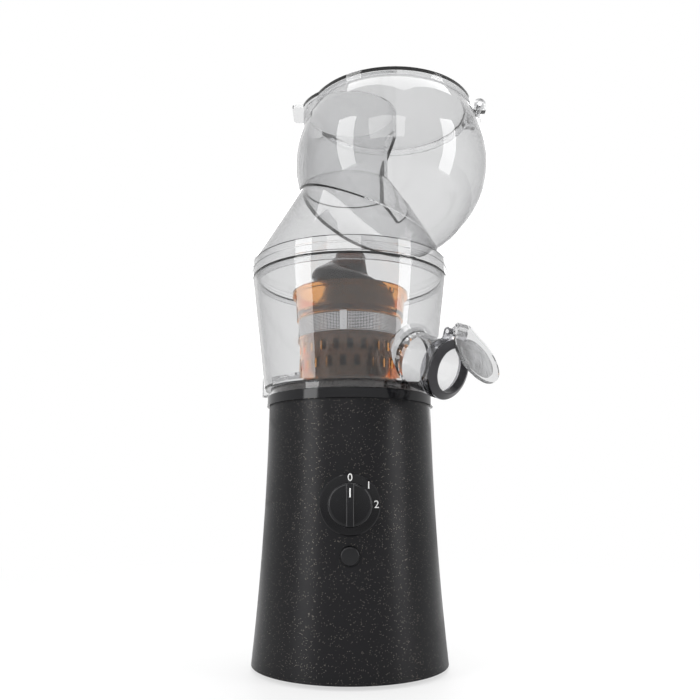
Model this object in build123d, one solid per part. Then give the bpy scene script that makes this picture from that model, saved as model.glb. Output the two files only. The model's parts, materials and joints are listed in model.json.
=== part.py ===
from build123d import *
import math
import os

# A cold press (slow) juicer, standing assembled. Millimetres, +Z up.
# The origin is on the drive axis, in the plane of the feet. The controls face -Y,
# the juice spout points to +X -Y and the pulp outlet to -X +Y.

# ---------------------------------------------------------------- driving dimensions
# Motor base
base_height = 200.0          # table to the top of the raised rim
rim_r = 65.5                 # raised rim, outside
rim_band = 7.5               # height of the glossy rim band
rim_wall = 1.7
body_top_r = 63.6            # housing just below the rim band
body_mid_r = 66.2            # housing half way down
body_foot_r = 73.0           # housing at its lower edge
housing_wall = 2.6
recess_depth = 5.5           # how deep the bowl's skirt drops into the rim
deck_thickness = 3.0
deck_lip = 3.0               # locating lip of the top cover inside the housing
lip_thickness = 2.4
rim_round = 0.6
seal_boss_wall = 3.0
seal_boss_height = 5.0

# Feet and bottom plate
foot_height = 3.0
foot_r = 9.0
foot_ring_r = 54.0
foot_angles = (35, 145, 215, 325)
foot_round = 0.8
foot_stem_r = 3.5
foot_stem_height = 5.0
plate_thickness = 3.0
plate_gap = 0.2
vent_slot = (18.0, 3.0)
vent_ring_r = 33.0
vent_count = 12
back_vent = (22.0, 30.0, 2.6)   # slot width, depth of cut and height
back_vent_place = (24.0, 65.0)  # to either side, and back from the drive axis
back_vent_turn = 20.0
back_vent_low = 52.0
back_vent_pitch = 7.0
back_vent_rows = 6
bottom_boss_r = 5.5
bottom_boss_height = 22.0
bottom_boss_ring_r = 65.5
bottom_boss_angles = (45, 135, 225, 315)
bottom_boss_end = 3.0        # solid end above the pilot hole
bottom_screw_length = 16.0
screw_r = 1.6
screw_head_r = 3.2
screw_head_height = 1.8
pilot_gap = 0.05
screw_gap = 0.2              # clearance round a shank
head_gap = 0.3               # clearance round a head
over = 1.0                   # how far a cut runs past a face

# Motor
motor_bottom = 40.0
motor_top = 112.0
motor_r = 31.0
motor_wall = 2.0
stator_inner_r = 19.5
rotor_r = 18.8
stack_inset = 12.0           # from the can's ends to the lamination stack
motor_shaft_r = 4.0
motor_bearing_r = 9.0
motor_bearing_height = 5.0
bearing_boss_wall = 2.0
motor_screw_boss = 1.6
motor_screw_depth = 9.0
can_slot = (8.0, 7.0, 6.0)
can_slot_count = 6
can_slot_height = 8.0        # middle of the slots above the can's bottom
stator_slot = (4.0, 7.0)
stator_slot_r = 24.5
stator_slots = 12
fan_r = 26.0
fan_hub_r = 7.0
fan_height = 8.0
fan_blades = 7
fan_blade_thickness = 1.4
fan_blade_turn = 18.0
fan_gap = 4.0                # below the motor can
motor_screw_ring_r = 18.0

# Gear train
gear_centres = 30.0          # drive axis to the compound gear's pin
first_module = 1.0
pinion_teeth = 12
wheel_teeth = 48
second_module = 1.25
small_teeth = 10
output_teeth = 38
first_width = 8.0
second_width = 9.0
gear_gap = 2.5               # between stages, and to the tray floor
idler_pin_r = 3.0
running_gap = 0.05
pin_boss_wall = 2.5
pin_bite = 2.0
tray_floor = 3.0
tray_wall = 2.0
tray_width = 58.0
cover_plate = 3.5
ear_x = (-12.0, 42.0)
ear_y = 36.0
ear_r = 5.5
ear_thickness = 5.0
post_r = 4.5
post_pilot_depth = 15.0
gearbox_screw_bite = 13.0
drive_shaft_r = 6.0
bearing_outer_r = 14.0
bearing_height = 9.0
shaft_passage = 1.5
seal_passage = 2.0
seal_outer_r = 11.0
seal_height = 5.0
drive_hex = 10.0             # across flats
drive_head = 10.0            # hex head above the recess floor

# Controls
knob_z = 118.0
knob_r = 15.0
knob_depth = 13.0
knob_round = 2.0
grip_round = 1.6
knob_grip = (6.0, 6.0)       # width and extra depth of the grip bar
dial_r = 21.0
dial_depth = 2.2
dial_chamfer = 0.6
spindle_r = 3.0
switch_size = (20.0, 12.0, 20.0)
switch_bush_r = 4.5
button_z = 84.0
button_r = 6.5
button_proud = 3.0
button_travel = 2.0
button_gap = 0.3
button_flange = 1.6
button_shoulder = 2.0
button_round = 1.2
guide_wall = 1.8
tact_size = (8.0, 5.0, 8.0)
tact_stem_r = 1.8
board_thickness = 1.6
switch_board_y = -45.0
control_board_x = -50.0
control_board_size = (44.0, 52.0)
board_lift = 2.0
board_fit = 0.2
switch_board_half = 16.0
rail_size = (6.0, 5.0, 34.0)
capacitor_r = 8.0
capacitor_length = 13.0
capacitor_place = (8.0, 40.0)   # across, and above the bottom plate

# Mains inlet
inlet_z = 27.0
inlet_body = (21.0, 14.0, 14.5)
inlet_flange = (29.0, 3.0, 17.0)
inlet_mouth = (15.0, 9.0)
inlet_mouth_depth = 11.0
inlet_corner = 2.0
mouth_corner = 3.0
inlet_pin_r = 1.2
inlet_pin_pitch = 8.6

# Juice bowl
bowl_height = 90.0           # wall, from the step to the rim
bowl_top_r = 79.0
bowl_foot_r = 68.0
bowl_wall = 2.5
skirt_r = 63.2
skirt_height = 10.9
skirt_wall = 2.4
floor_thickness = 2.5
floor_drop = 2.0             # floor underside below the step
floor_rib_r = 50.0
floor_rib = (2.0, 1.5)       # width and depth
floor_plate_r = skirt_r - skirt_wall
hub_r = 15.5
hub_height = 8.0
bush_r = 12.0
journal_r = 8.0
coupling_head_r = 11.8
coupling_head = 6.0
coupling_hex = 12.0
coupling_post = 20.0
clip_r = 11.0
clip_height = 1.6
clip_split = 3.0
clip_gap = 0.3
seat_height = 1.6            # strainer seat above the floor
seat_lip = 4.0
seat_wall = 3.0
seat_gap = 0.4

# Spout
spout_azimuth = -45.0
spout_tilt = 20.0
spout_r = 20.25
spout_wall = 2.4
# The spout's flared root: how much wider it is, at places along the axis from the root
spout_flare = ((6.5, -13.0), (6.5, -7.5), (3.6, -5.8), (1.6, -3.0), (0.5, 0.0), (0.0, 3.0))
spout_root_height = 16.0     # spout axis above the step, at the wall
spout_root_r = 71.0
spout_mouth_r = 99.0         # distance of the mouth from the drive axis
collar_r = 22.0
collar_length = 7.0
gasket_wall = 1.8
gasket_proud = 3.4           # in front of the mouth
gasket_lip = 1.0             # flat width of the lip that the flap closes on
gasket_edge = 0.6            # height of the outer edge
gasket_sleeve = 3.0
flap_length = 46.0
flap_round_r = 21.0
flap_neck = 7.0
flap_gap = 0.3
pad_thickness = 1.6
knuckle_flap_r = 3.0
ear_offset = 7.5
ear_width = 3.0
flap_thickness = 2.4
flap_pin_r = 1.5
flap_taper = (0.8, 5.0)      # where the straight sides leave the round
pad_gap = 1.0
flap_rest_angle = 45.0       # how far open the flap stands

# Pulp outlet
pulp_azimuth = 135.0
pulp_width = 26.0
pulp_height = 13.0
pulp_wall = 2.0
pulp_reach = 93.0

# Strainer
strainer_drop = 10.0         # ring top below the bowl rim
strainer_ring_r = 47.0
strainer_ring = 3.5
cone_height = 23.0
cone_foot_r = 43.0
strainer_wall = 2.0
mesh_height = 15.4
mesh_r = 41.5
mesh_thickness = 0.6
cage_r = 40.5
cage_inner_r = 38.3
cage_slots = 24
cage_slot = (4.5, 8.0)
mesh_pillars = 12
mesh_window = 16.4
seam_angle = -97.0
seam_width = 5.0
seam_proud = 0.5
tab_count = 6
tab_size = (2.4, 3.2, 3.5)    # outward, across and down
tab_start = 15.0
slot_row_gap = 5.0
slot_first_drop = 6.0
strainer_floor = 2.6

# Auger. Depths are below its top.
auger_r = 36.8
auger_height = 105.5
auger_bottom_gap = 10.3      # above the bowl's step
auger_body_r = 33.2          # between the ridges
auger_waist_r = 23.0
auger_starts = 4
auger_lead = 54.0
auger_wall = 3.0
auger_hollow_r = 22.0
auger_hollow = 10.0
ridge_half = 5.2             # half of a ridge's height along the axis
ridge_root_r = 31.0
ridge_start = 48.0           # depth of the ridges' upper ends
ridge_depth = 52.6           # depth of a crest on the -X side
blade_half = 13.0            # half of the blade's height along the axis
blade_root_r = 12.0
blade_end = 62.0             # depth of the blade's lower end
blade_depth = 17.0           # depth of the blade's crest on the -X side
crest_power = 0.7            # lower is blunter
notch_size = (4.4, 5.0)      # width and height
notch_count = 8
notch_start = 11.0
socket_insert_r = 10.5
socket_insert_height = 24.0
hex_gap = 0.1

# Hopper
hopper_ring = 13.4
hopper_wall = 2.6
hopper_seal_height = 1.0
neck_r = 40.0
neck_height = 81.0
hopper_height = 150.0
spigot_depth = 4.0
spigot_gap = 0.5
spigot_wall = 2.2
bead_proud = 0.6
bead_low = 7.4
bead_high = 8.6
globe_r = 81.0
globe_offset = 35.0
globe_centre = 103.0
globe_wall = 2.5
globe_low_angle = -70.0      # where the shell ends, inside the cone
window_width = 52.0
window_foot = 62.0
window_head = 132.0
lid_thickness = 3.0
lid_gap = 0.5
hinge_pin_r = 2.0
hinge_width = 30.0
knuckle_r = 5.0
hinge_ear = 6.0              # width of each of the globe's two ears
hinge_gap = 0.5
hinge_rise = 3.0
lid_tab = (18.0, 26.0, 4.0)  # length, width and corner of the finger tab
lid_neck_lap = 1.5
lid_knuckle_drop = 0.6
globe_lip = 3.0

# ---------------------------------------------------------------- derived places
rim_top = base_height
recess_floor = rim_top - recess_depth
deck_bottom = recess_floor - deck_thickness
band_bottom = rim_top - rim_band
plate_top = foot_height + plate_thickness
rim_inner_r = rim_r - rim_wall

bowl_z = recess_floor + skirt_height
bowl_rim = bowl_z + bowl_height
floor_top = bowl_z - floor_drop + floor_thickness
hub_top = floor_top + hub_height

strainer_top = bowl_rim - strainer_drop
strainer_bottom = floor_top + seat_height
mesh_top = strainer_top - cone_height
mesh_bottom = mesh_top - mesh_height

auger_bottom = bowl_z + auger_bottom_gap
auger_top = auger_bottom + auger_height

tray_bottom = motor_top
tray_inside = tray_bottom + tray_floor
first_z = tray_inside + gear_gap + 1.5
second_z = first_z + first_width + gear_gap
gearbox_top = second_z + second_width + gear_gap
cover_top = gearbox_top + cover_plate
bearing_z = cover_top + 1.0

spout_dir = Vector(math.cos(math.radians(spout_azimuth)), math.sin(math.radians(spout_azimuth)), 0)
spout_drop = math.tan(math.radians(spout_tilt))


# ---------------------------------------------------------------- helpers
def disc(radius, z_low, z_high, x=0.0, y=0.0):
    """A vertical cylinder between two heights."""
    return Pos(x, y, z_low) * Cylinder(
        radius, z_high - z_low, align=(Align.CENTER, Align.CENTER, Align.MIN))


def ring(outer_r, inner_r, z_low, z_high, x=0.0, y=0.0):
    """A vertical tube between two heights."""
    return disc(outer_r, z_low, z_high, x, y) - disc(inner_r, z_low - 1, z_high + 1, x, y)


def turned(points):
    """The solid that a closed outline of (radius, height) points sweeps round the drive axis."""
    outline = make_face(Polyline(*[(r, 0, z) for r, z in points], close=True))
    return revolve(outline, Axis.Z)


def block(x_low, x_high, y_low, y_high, z_low, z_high):
    """A box between two corners."""
    return Pos(x_low, y_low, z_low) * Box(
        x_high - x_low, y_high - y_low, z_high - z_low,
        align=(Align.MIN, Align.MIN, Align.MIN))


def front_disc(radius, y_back, y_front, z, x=0.0):
    """A cylinder along Y, from y_back forward to y_front, which is more negative."""
    return Pos(x, y_back, z) * Rot(90, 0, 0) * Cylinder(
        radius, y_back - y_front, align=(Align.CENTER, Align.CENTER, Align.MIN))


def hexagon(across_flats, z_low, z_high):
    """A hexagonal bar on the drive axis."""
    face = RegularPolygon(across_flats / 2, 6, major_radius=False)
    return extrude(Pos(0, 0, z_low) * face, z_high - z_low)


def around(piece, count, start=0.0):
    """Copies of a piece turned about the drive axis."""
    return [Rot(0, 0, start + 360.0 * i / count) * piece for i in range(count)]


def gear(module, teeth, z_low, z_high, phase):
    """A spur gear with straight-flanked teeth, its first tooth at the angle phase."""
    pitch_r = module * teeth / 2
    tip_r = pitch_r + 0.85 * module
    root_r = pitch_r - 1.2 * module
    pitch = 360.0 / teeth
    shape = ((-0.32, root_r), (-0.20, pitch_r), (-0.09, tip_r),
             (0.09, tip_r), (0.20, pitch_r), (0.32, root_r))
    points = []
    for tooth in range(teeth):
        for share, radius in shape:
            angle = math.radians(phase + pitch * (tooth + share))
            points.append((radius * math.cos(angle), radius * math.sin(angle)))
    face = make_face(Polyline(*points, close=True))
    return extrude(Pos(0, 0, z_low) * face, z_high - z_low)


def along_spout(distance):
    """The plane across the spout's axis, with its origin this far from the drive axis."""
    point = spout_dir * distance
    height = bowl_z + spout_root_height - (distance - spout_root_r) * spout_drop
    normal = (spout_dir - Vector(0, 0, spout_drop)).normalized()
    side = Vector(0, 0, 1).cross(spout_dir)
    return Plane(origin=(point.X, point.Y, height), x_dir=side, z_dir=normal)


def screw(length, x, y, z_head):
    """A pan-head screw whose head starts at z_head and whose shank points up."""
    head = disc(screw_head_r, z_head, z_head + screw_head_height, x, y)
    shank = disc(screw_r, z_head + screw_head_height, z_head + screw_head_height + length, x, y)
    return head + shank


# ---------------------------------------------------------------- motor base
def housing_profile(inset, z_low, z_high):
    """The base's solid of revolution, inset from its outer face."""
    foot = (body_foot_r - inset, 0, foot_height)
    middle = (body_mid_r - inset, 0, (foot_height + band_bottom) / 2)
    top = (body_top_r - inset, 0, band_bottom)
    side = Spline(foot, middle, top)
    rest = Polyline(top, (0, 0, band_bottom), (0, 0, foot_height), foot)
    body = revolve(make_face(Curve() + [side, rest]), Axis.Z)
    if z_high < band_bottom:
        body &= disc(body_foot_r + 5, z_low, z_high)
    return body


base_outer = housing_profile(0, foot_height, band_bottom)
base_inner = housing_profile(housing_wall, foot_height, band_bottom)


def base_housing():
    shell = base_outer - base_inner
    for x, y in bottom_boss_places():
        boss = disc(bottom_boss_r, plate_top, plate_top + bottom_boss_height, x, y) & base_inner
        shell += boss
    for x, y in bottom_boss_places():
        shell -= disc(screw_r + pilot_gap, plate_top - 1, plate_top + bottom_boss_height - bottom_boss_end, x, y)
    shell -= front_disc(switch_bush_r, -50, -80, knob_z)
    shell -= front_disc(button_r + button_gap, -50, -80, button_z)
    width, _, height = inlet_body
    shell -= block(-width / 2, width / 2, 50, 85, inlet_z - height / 2, inlet_z + height / 2)
    for side in (-1, 1):
        for row in range(back_vent_rows):
            place = Pos(side * back_vent_place[0], back_vent_place[1], back_vent_low + back_vent_pitch * row)
            shell -= place * Rot(0, 0, -side * back_vent_turn) * Box(*back_vent)
    return shell


def bottom_boss_places():
    return [(bottom_boss_ring_r * math.cos(math.radians(a)), bottom_boss_ring_r * math.sin(math.radians(a)))
            for a in bottom_boss_angles]


def foot_places():
    return [(foot_ring_r * math.cos(math.radians(a)), foot_ring_r * math.sin(math.radians(a)))
            for a in foot_angles]


def bottom_plate():
    plate = housing_profile(housing_wall + plate_gap, foot_height, plate_top)
    for slot in around(Pos(vent_ring_r, 0, plate_top) * Box(vent_slot[0], vent_slot[1], 20), vent_count):
        plate -= slot
    for x, y in foot_places():
        plate -= disc(foot_stem_r, 0, plate_top + 1, x, y)
    for x, y in bottom_boss_places():
        plate -= disc(screw_r + head_gap, 0, plate_top + over, x, y)
        plate -= disc(screw_head_r + head_gap, 0, foot_height + screw_head_height, x, y)
    board_half = control_board_size[0] / 2
    for side in (-1, 1):
        rail = Pos(control_board_x, side * board_half, plate_top) * Box(
            *rail_size, align=(Align.CENTER, Align.CENTER, Align.MIN))
        plate += rail
    plate -= Pos(control_board_x, 0, plate_top + board_lift) * Box(
        board_thickness, control_board_size[0] + 2 * board_fit, control_board_size[1],
        align=(Align.CENTER, Align.CENTER, Align.MIN))
    return plate


def rubber_feet():
    feet = []
    for x, y in foot_places():
        pad = fillet((disc(foot_r, 0, foot_height, x, y)).edges().group_by(Axis.Z)[0], foot_round)
        feet.append(pad + disc(foot_stem_r, foot_height, foot_height + foot_stem_height, x, y))
    return Compound(feet)


def bottom_screws():
    return Compound([screw(bottom_screw_length, x, y, foot_height) for x, y in bottom_boss_places()])


def top_cover():
    cover = ring(rim_r, rim_inner_r, recess_floor - 0.5, rim_top)
    cover = fillet(cover.edges().group_by(Axis.Z)[-1], rim_round)
    cover += disc(rim_r, band_bottom, recess_floor)
    lip_r = body_top_r - housing_wall - plate_gap
    cover += disc(lip_r, deck_bottom - deck_lip, band_bottom) - disc(
        lip_r - lip_thickness, deck_bottom - deck_lip - 1, deck_bottom)
    for x in ear_x:
        for y in (-ear_y, ear_y):
            cover += disc(post_r, cover_top, deck_bottom + 1, x, y)
    cover += disc(seal_outer_r + seal_boss_wall, deck_bottom - seal_boss_height, deck_bottom + 1)
    for x in ear_x:
        for y in (-ear_y, ear_y):
            cover -= disc(screw_r + pilot_gap, cover_top - over, cover_top + post_pilot_depth, x, y)
    cover -= disc(seal_outer_r, recess_floor - seal_height, recess_floor + 1)
    cover -= disc(drive_shaft_r + seal_passage, deck_bottom - 2 * seal_boss_height, recess_floor)
    return cover


def shaft_seal():
    return ring(seal_outer_r, drive_shaft_r + running_gap, recess_floor - seal_height, recess_floor)


# ---------------------------------------------------------------- motor
def motor_can():
    can = disc(motor_r, motor_bottom, motor_top) - disc(
        motor_r - motor_wall, motor_bottom + motor_wall, motor_top - motor_wall)
    for z in (motor_bottom, motor_top - motor_bearing_height):
        can += disc(motor_bearing_r + bearing_boss_wall, z, z + motor_bearing_height)
        can -= disc(motor_bearing_r, z - 1, z + motor_bearing_height + 1)
    for side in (-1, 1):
        y = side * motor_screw_ring_r
        can += disc(screw_r + motor_screw_boss, motor_top - motor_screw_depth, motor_top - motor_wall, 0, y)
        can -= disc(screw_r + pilot_gap, motor_top - motor_screw_depth + 1, motor_top + over, 0, y)
    slot = Pos(motor_r, 0, motor_bottom + can_slot_height) * Box(*can_slot)
    for copy in around(slot, can_slot_count, 180 / can_slot_count):
        can -= copy
    return can


def motor_bearings():
    rings = []
    for z in (motor_bottom, motor_top - motor_bearing_height):
        rings.append(ring(motor_bearing_r, motor_shaft_r + running_gap, z, z + motor_bearing_height))
    return Compound(rings)


def motor_stator():
    stack = ring(motor_r - motor_wall, stator_inner_r, motor_bottom + stack_inset, motor_top - stack_inset)
    middle = (motor_bottom + motor_top) / 2
    slot = Pos(stator_slot_r, 0, middle) * Box(*stator_slot, motor_top - motor_bottom)
    for copy in around(slot, stator_slots):
        stack -= copy
    return stack


def rotor_core():
    return ring(rotor_r, motor_shaft_r, motor_bottom + stack_inset, motor_top - stack_inset)


def motor_shaft():
    return disc(motor_shaft_r, fan_low - 1, first_z + first_width)


fan_low = motor_bottom - fan_gap - fan_height


def cooling_fan():
    fan = disc(fan_hub_r, fan_low, fan_low + fan_height) - disc(motor_shaft_r, fan_low - 1, fan_low + 20)
    fan += ring(fan_r, fan_hub_r - 1, fan_low + fan_height - fan_blade_thickness, fan_low + fan_height)
    blade = Pos((fan_hub_r + fan_r) / 2, 0, fan_low + fan_height / 2) * Rot(0, 0, fan_blade_turn) * Box(
        fan_r - fan_hub_r - 1.5, fan_blade_thickness, fan_height)
    for copy in around(blade, fan_blades):
        fan += copy
    return fan


def motor_screws():
    pair = []
    for side in (-1, 1):
        y = side * motor_screw_ring_r
        head = disc(screw_head_r, tray_inside, tray_inside + screw_head_height, 0, y)
        pair.append(head + disc(screw_r, motor_top - motor_screw_depth + 2, tray_inside, 0, y))
    return Compound(pair)


# ---------------------------------------------------------------- gearbox
def gearbox_outline(width, z_low, z_high):
    slot = SlotCenterToCenter(gear_centres, width)
    return extrude(Pos(gear_centres / 2, 0, z_low) * slot, z_high - z_low)


def gearbox_ears(z_low, z_high):
    ears = []
    for x in ear_x:
        for side in (-1, 1):
            ear = disc(ear_r, z_low, z_high, x, side * ear_y)
            ear += block(x - ear_r, x + ear_r, min(side * 20, side * ear_y), max(side * 20, side * ear_y),
                         z_low, z_high)
            ears.append(ear)
    return ears


def gearbox_tray():
    solid = gearbox_outline(tray_width, tray_bottom, gearbox_top)
    for ear in gearbox_ears(gearbox_top - ear_thickness, gearbox_top):
        solid += ear
    solid -= gearbox_outline(tray_width - 2 * tray_wall, tray_inside, gearbox_top + 1)
    solid += disc(idler_pin_r + pin_boss_wall, tray_inside, first_z - running_gap * 4, gear_centres, 0)
    solid -= disc(idler_pin_r, tray_bottom + tray_floor - pin_bite, first_z, gear_centres, 0)
    solid -= disc(motor_shaft_r + 1, tray_bottom - 1, tray_inside + 1)
    for side in (-1, 1):
        solid -= disc(screw_r + screw_gap, tray_bottom - over, tray_inside + over, 0, side * motor_screw_ring_r)
    for x in ear_x:
        for y in (-ear_y, ear_y):
            solid -= disc(screw_r + screw_gap, tray_bottom, gearbox_top + over, x, y)
    return solid


def gearbox_cover():
    solid = gearbox_outline(tray_width, gearbox_top, cover_top)
    for ear in gearbox_ears(gearbox_top, cover_top):
        solid += ear
    solid += disc(bearing_outer_r + pin_boss_wall, cover_top, bearing_z + bearing_height)
    solid -= disc(bearing_outer_r, bearing_z, bearing_z + bearing_height + 1)
    solid -= disc(drive_shaft_r + shaft_passage, gearbox_top - over, bearing_z + over)
    solid -= disc(idler_pin_r, gearbox_top - over, gearbox_top + pin_bite, gear_centres, 0)
    for x in ear_x:
        for y in (-ear_y, ear_y):
            solid -= disc(screw_r + screw_gap, gearbox_top - over, cover_top + over, x, y)
    return solid


def gearbox_screws():
    z_head = gearbox_top - ear_thickness - screw_head_height
    return Compound([screw(ear_thickness + cover_plate + gearbox_screw_bite, x, y, z_head)
                     for x in ear_x for y in (-ear_y, ear_y)])


def idler_pin():
    return disc(idler_pin_r, tray_inside - pin_bite, gearbox_top + pin_bite, gear_centres, 0)


def compound_gear():
    large = gear(first_module, wheel_teeth, first_z, first_z + first_width, 180.0 / wheel_teeth)
    small = gear(second_module, small_teeth, first_z + first_width, second_z + second_width,
                 180.0 / small_teeth)
    both = Pos(gear_centres, 0, 0) * (large + small)
    return both - disc(idler_pin_r + running_gap, first_z - 1, gearbox_top, gear_centres, 0)


def motor_pinion():
    wheel = gear(first_module, pinion_teeth, first_z, first_z + first_width, 0)
    return wheel - disc(motor_shaft_r, first_z - 1, first_z + first_width + 1)


def output_gear():
    wheel = gear(second_module, output_teeth, second_z, second_z + second_width, 0)
    return wheel - disc(drive_shaft_r, second_z - 1, second_z + second_width + 1)


def drive_shaft():
    shaft = disc(drive_shaft_r, second_z, recess_floor)
    return shaft + hexagon(drive_hex, recess_floor, recess_floor + drive_head)


def shaft_bearing():
    return ring(bearing_outer_r, drive_shaft_r + running_gap, bearing_z, bearing_z + bearing_height)


# ---------------------------------------------------------------- controls
def housing_front(z):
    """The y of the housing's outer face, straight ahead, at a height (within a fraction of a millimetre)."""
    hit = (base_outer & block(-0.05, 0.05, -100, 0, z - 0.05, z + 0.05)).bounding_box()
    return hit.min.Y


knob_face = housing_front(knob_z)
button_face = housing_front(button_z)
dial_front = knob_face - dial_depth


def dial_ring():
    plate = front_disc(dial_r, -40, dial_front, knob_z)
    plate = chamfer(plate.edges().group_by(Axis.Y)[0], dial_chamfer)
    plate -= base_outer
    return plate - front_disc(switch_bush_r, -40, -90, knob_z)


def rotary_switch():
    half = switch_size[0] / 2
    body = block(-half, half, switch_board_y - switch_size[1], switch_board_y,
                 knob_z - half, knob_z + half)
    body += front_disc(switch_bush_r, switch_board_y - switch_size[1], dial_front, knob_z)
    return body - front_disc(spindle_r + running_gap, switch_board_y - 3, dial_front - 1, knob_z)


def speed_knob():
    back = dial_front - button_gap
    knob = front_disc(knob_r, back, back - knob_depth, knob_z)
    knob = fillet(knob.edges().group_by(Axis.Y)[0], knob_round)
    width, depth = knob_grip
    grip = block(-width / 2, width / 2, back - knob_depth - depth, back - 3,
                 knob_z - knob_r + 1.2, knob_z + knob_r - 1.2)
    grip = fillet(grip.edges().filter_by(Axis.Z), grip_round)
    knob += grip
    return knob + front_disc(spindle_r, switch_board_y - 4, back - 1, knob_z)


def button_back():
    """The y where the button's cap ends, just behind the housing wall."""
    return button_face + housing_wall + button_travel + 1.5


def reverse_button():
    cap = front_disc(button_r, button_back(), button_face - button_proud, button_z)
    cap = fillet(cap.edges().group_by(Axis.Y)[0], button_round)
    flange = front_disc(button_r + button_shoulder, button_back() + button_flange, button_back(), button_z)
    return cap + flange


def button_switch():
    half = tact_size[0] / 2
    stem_front = button_back() + button_flange + button_travel + button_gap
    body = block(-half, half, switch_board_y - tact_size[1], switch_board_y, button_z - half, button_z + half)
    return body + front_disc(tact_stem_r, switch_board_y - tact_size[1], stem_front, button_z)


def button_guide():
    """A sleeve behind the housing wall that carries the button's flange."""
    inner = button_r + button_shoulder + button_gap
    sleeve = front_disc(inner + guide_wall, switch_board_y - 6, -70, button_z) - front_disc(
        inner, switch_board_y, -71, button_z)
    sleeve &= base_inner
    return sleeve


def switch_board():
    return block(-switch_board_half, switch_board_half, switch_board_y, switch_board_y + board_thickness, button_z - 12, knob_z + 14)


def control_board():
    width, height = control_board_size
    return Pos(control_board_x, 0, plate_top + board_lift) * Box(
        board_thickness, width, height, align=(Align.CENTER, Align.CENTER, Align.MIN))


def capacitor():
    start = control_board_x + board_thickness / 2
    return Pos(start, capacitor_place[0], plate_top + capacitor_place[1]) * Rot(0, 90, 0) * Cylinder(
        capacitor_r, capacitor_length, align=(Align.CENTER, Align.CENTER, Align.MIN))


def power_inlet():
    width, depth, height = inlet_body
    flange_w, flange_d, flange_h = inlet_flange
    face = -housing_front(inlet_z)
    body = block(-width / 2, width / 2, face - depth, face + 1, inlet_z - height / 2, inlet_z + height / 2)
    flange = block(-flange_w / 2, flange_w / 2, face - 8, face + flange_d - 1,
                   inlet_z - flange_h / 2, inlet_z + flange_h / 2)
    flange = fillet(flange.edges().filter_by(Axis.Y), inlet_corner) - base_outer
    socket = body + flange
    mouth_w, mouth_h = inlet_mouth
    mouth_bottom = face + flange_d - 1 - inlet_mouth_depth
    mouth = block(-mouth_w / 2, mouth_w / 2, mouth_bottom, face + 10, inlet_z - mouth_h / 2, inlet_z + mouth_h / 2)
    socket -= fillet(mouth.edges().filter_by(Axis.Y), mouth_corner)
    for side in (-1, 1):
        pin = Pos(side * inlet_pin_pitch / 2, mouth_bottom - 1, inlet_z) * Rot(-90, 0, 0) * Cylinder(
            inlet_pin_r, inlet_mouth_depth - 1, align=(Align.CENTER, Align.CENTER, Align.MIN))
        socket += pin
    return socket


# ---------------------------------------------------------------- juice bowl
def spout_solid(radius, start, end):
    """A cylinder on the spout's axis between two distances from the drive axis."""
    length = (end - start) / math.cos(math.radians(spout_tilt))
    return extrude(along_spout(start) * Circle(radius), length)


def spout_root():
    """The flare where the spout leaves the bowl's wall, above the step."""
    outline = [(0, spout_flare[0][1])] + [(spout_r + wider, place) for wider, place in spout_flare]
    flare = along_spout(spout_root_r) * turned(outline + [(0, spout_flare[-1][1])])
    return flare & disc(spout_mouth_r, bowl_z, bowl_rim)


def pulp_duct(width, height, start, end, z_low):
    box = block(start, end, -width / 2, width / 2, z_low, z_low + height)
    return Rot(0, 0, pulp_azimuth) * box


def pulp_box(width, height, z_low):
    """A block along the pulp chute, from the strainer's seat outwards."""
    return pulp_duct(width, height, cage_r - 4, pulp_reach, z_low) - disc(
        cage_r + seat_gap, floor_top + seat_height, bowl_rim)


chute_low = floor_top + seat_height + strainer_floor - pulp_wall


def chute_outside():
    return pulp_box(pulp_width + 2 * pulp_wall, pulp_height + 2 * pulp_wall, chute_low)


def pulp_chute():
    """The square tube that carries the pulp from the strainer through the bowl's wall."""
    return chute_outside() - pulp_duct(pulp_width, pulp_height, cage_r - 6, pulp_reach + 1, chute_low + pulp_wall)


def bowl_inside():
    return turned([(0, floor_top), (bowl_foot_r - bowl_wall, floor_top),
                   (bowl_top_r - bowl_wall, bowl_rim + 0.01), (0, bowl_rim + 0.01)])


def bowl_shape():
    """The bowl's outer form with its step, as if it were full."""
    return turned([(0, bowl_z - floor_drop), (skirt_r, bowl_z - floor_drop), (skirt_r, bowl_z),
                   (bowl_foot_r - 1, bowl_z), (bowl_foot_r, bowl_z + 1.5), (bowl_top_r, bowl_rim),
                   (0, bowl_rim)])


def spout_bore():
    """What the spout's bore takes away, down to the floor's top."""
    return spout_solid(spout_r - spout_wall, spout_root_r - 14, spout_mouth_r + 5) - disc(
        bowl_foot_r - 1, 100, floor_top)


def juice_bowl():
    """The cone-shaped wall, from the floor's top to the rim."""
    wall = bowl_shape() - bowl_inside() - disc(bowl_top_r, bowl_z - floor_drop - 1, floor_top)
    return wall - spout_bore() - chute_outside()


def bowl_foot():
    """The step under the wall and the narrower skirt that drops into the base's rim."""
    step = bowl_shape() & disc(bowl_top_r, bowl_z - floor_drop, floor_top)
    step -= disc(floor_plate_r, bowl_z - floor_drop - 1, bowl_z + 10)
    step += ring(skirt_r, skirt_r - skirt_wall, recess_floor, bowl_z - floor_drop + 0.5)
    return step - spout_bore()


def spout_tube():
    """The sloping tube with its flared root, outside the bowl."""
    tube = spout_solid(spout_r, spout_root_r - 18, spout_mouth_r) + spout_root()
    return tube - bowl_shape() - disc(skirt_r, recess_floor, bowl_z) - spout_bore()


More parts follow.
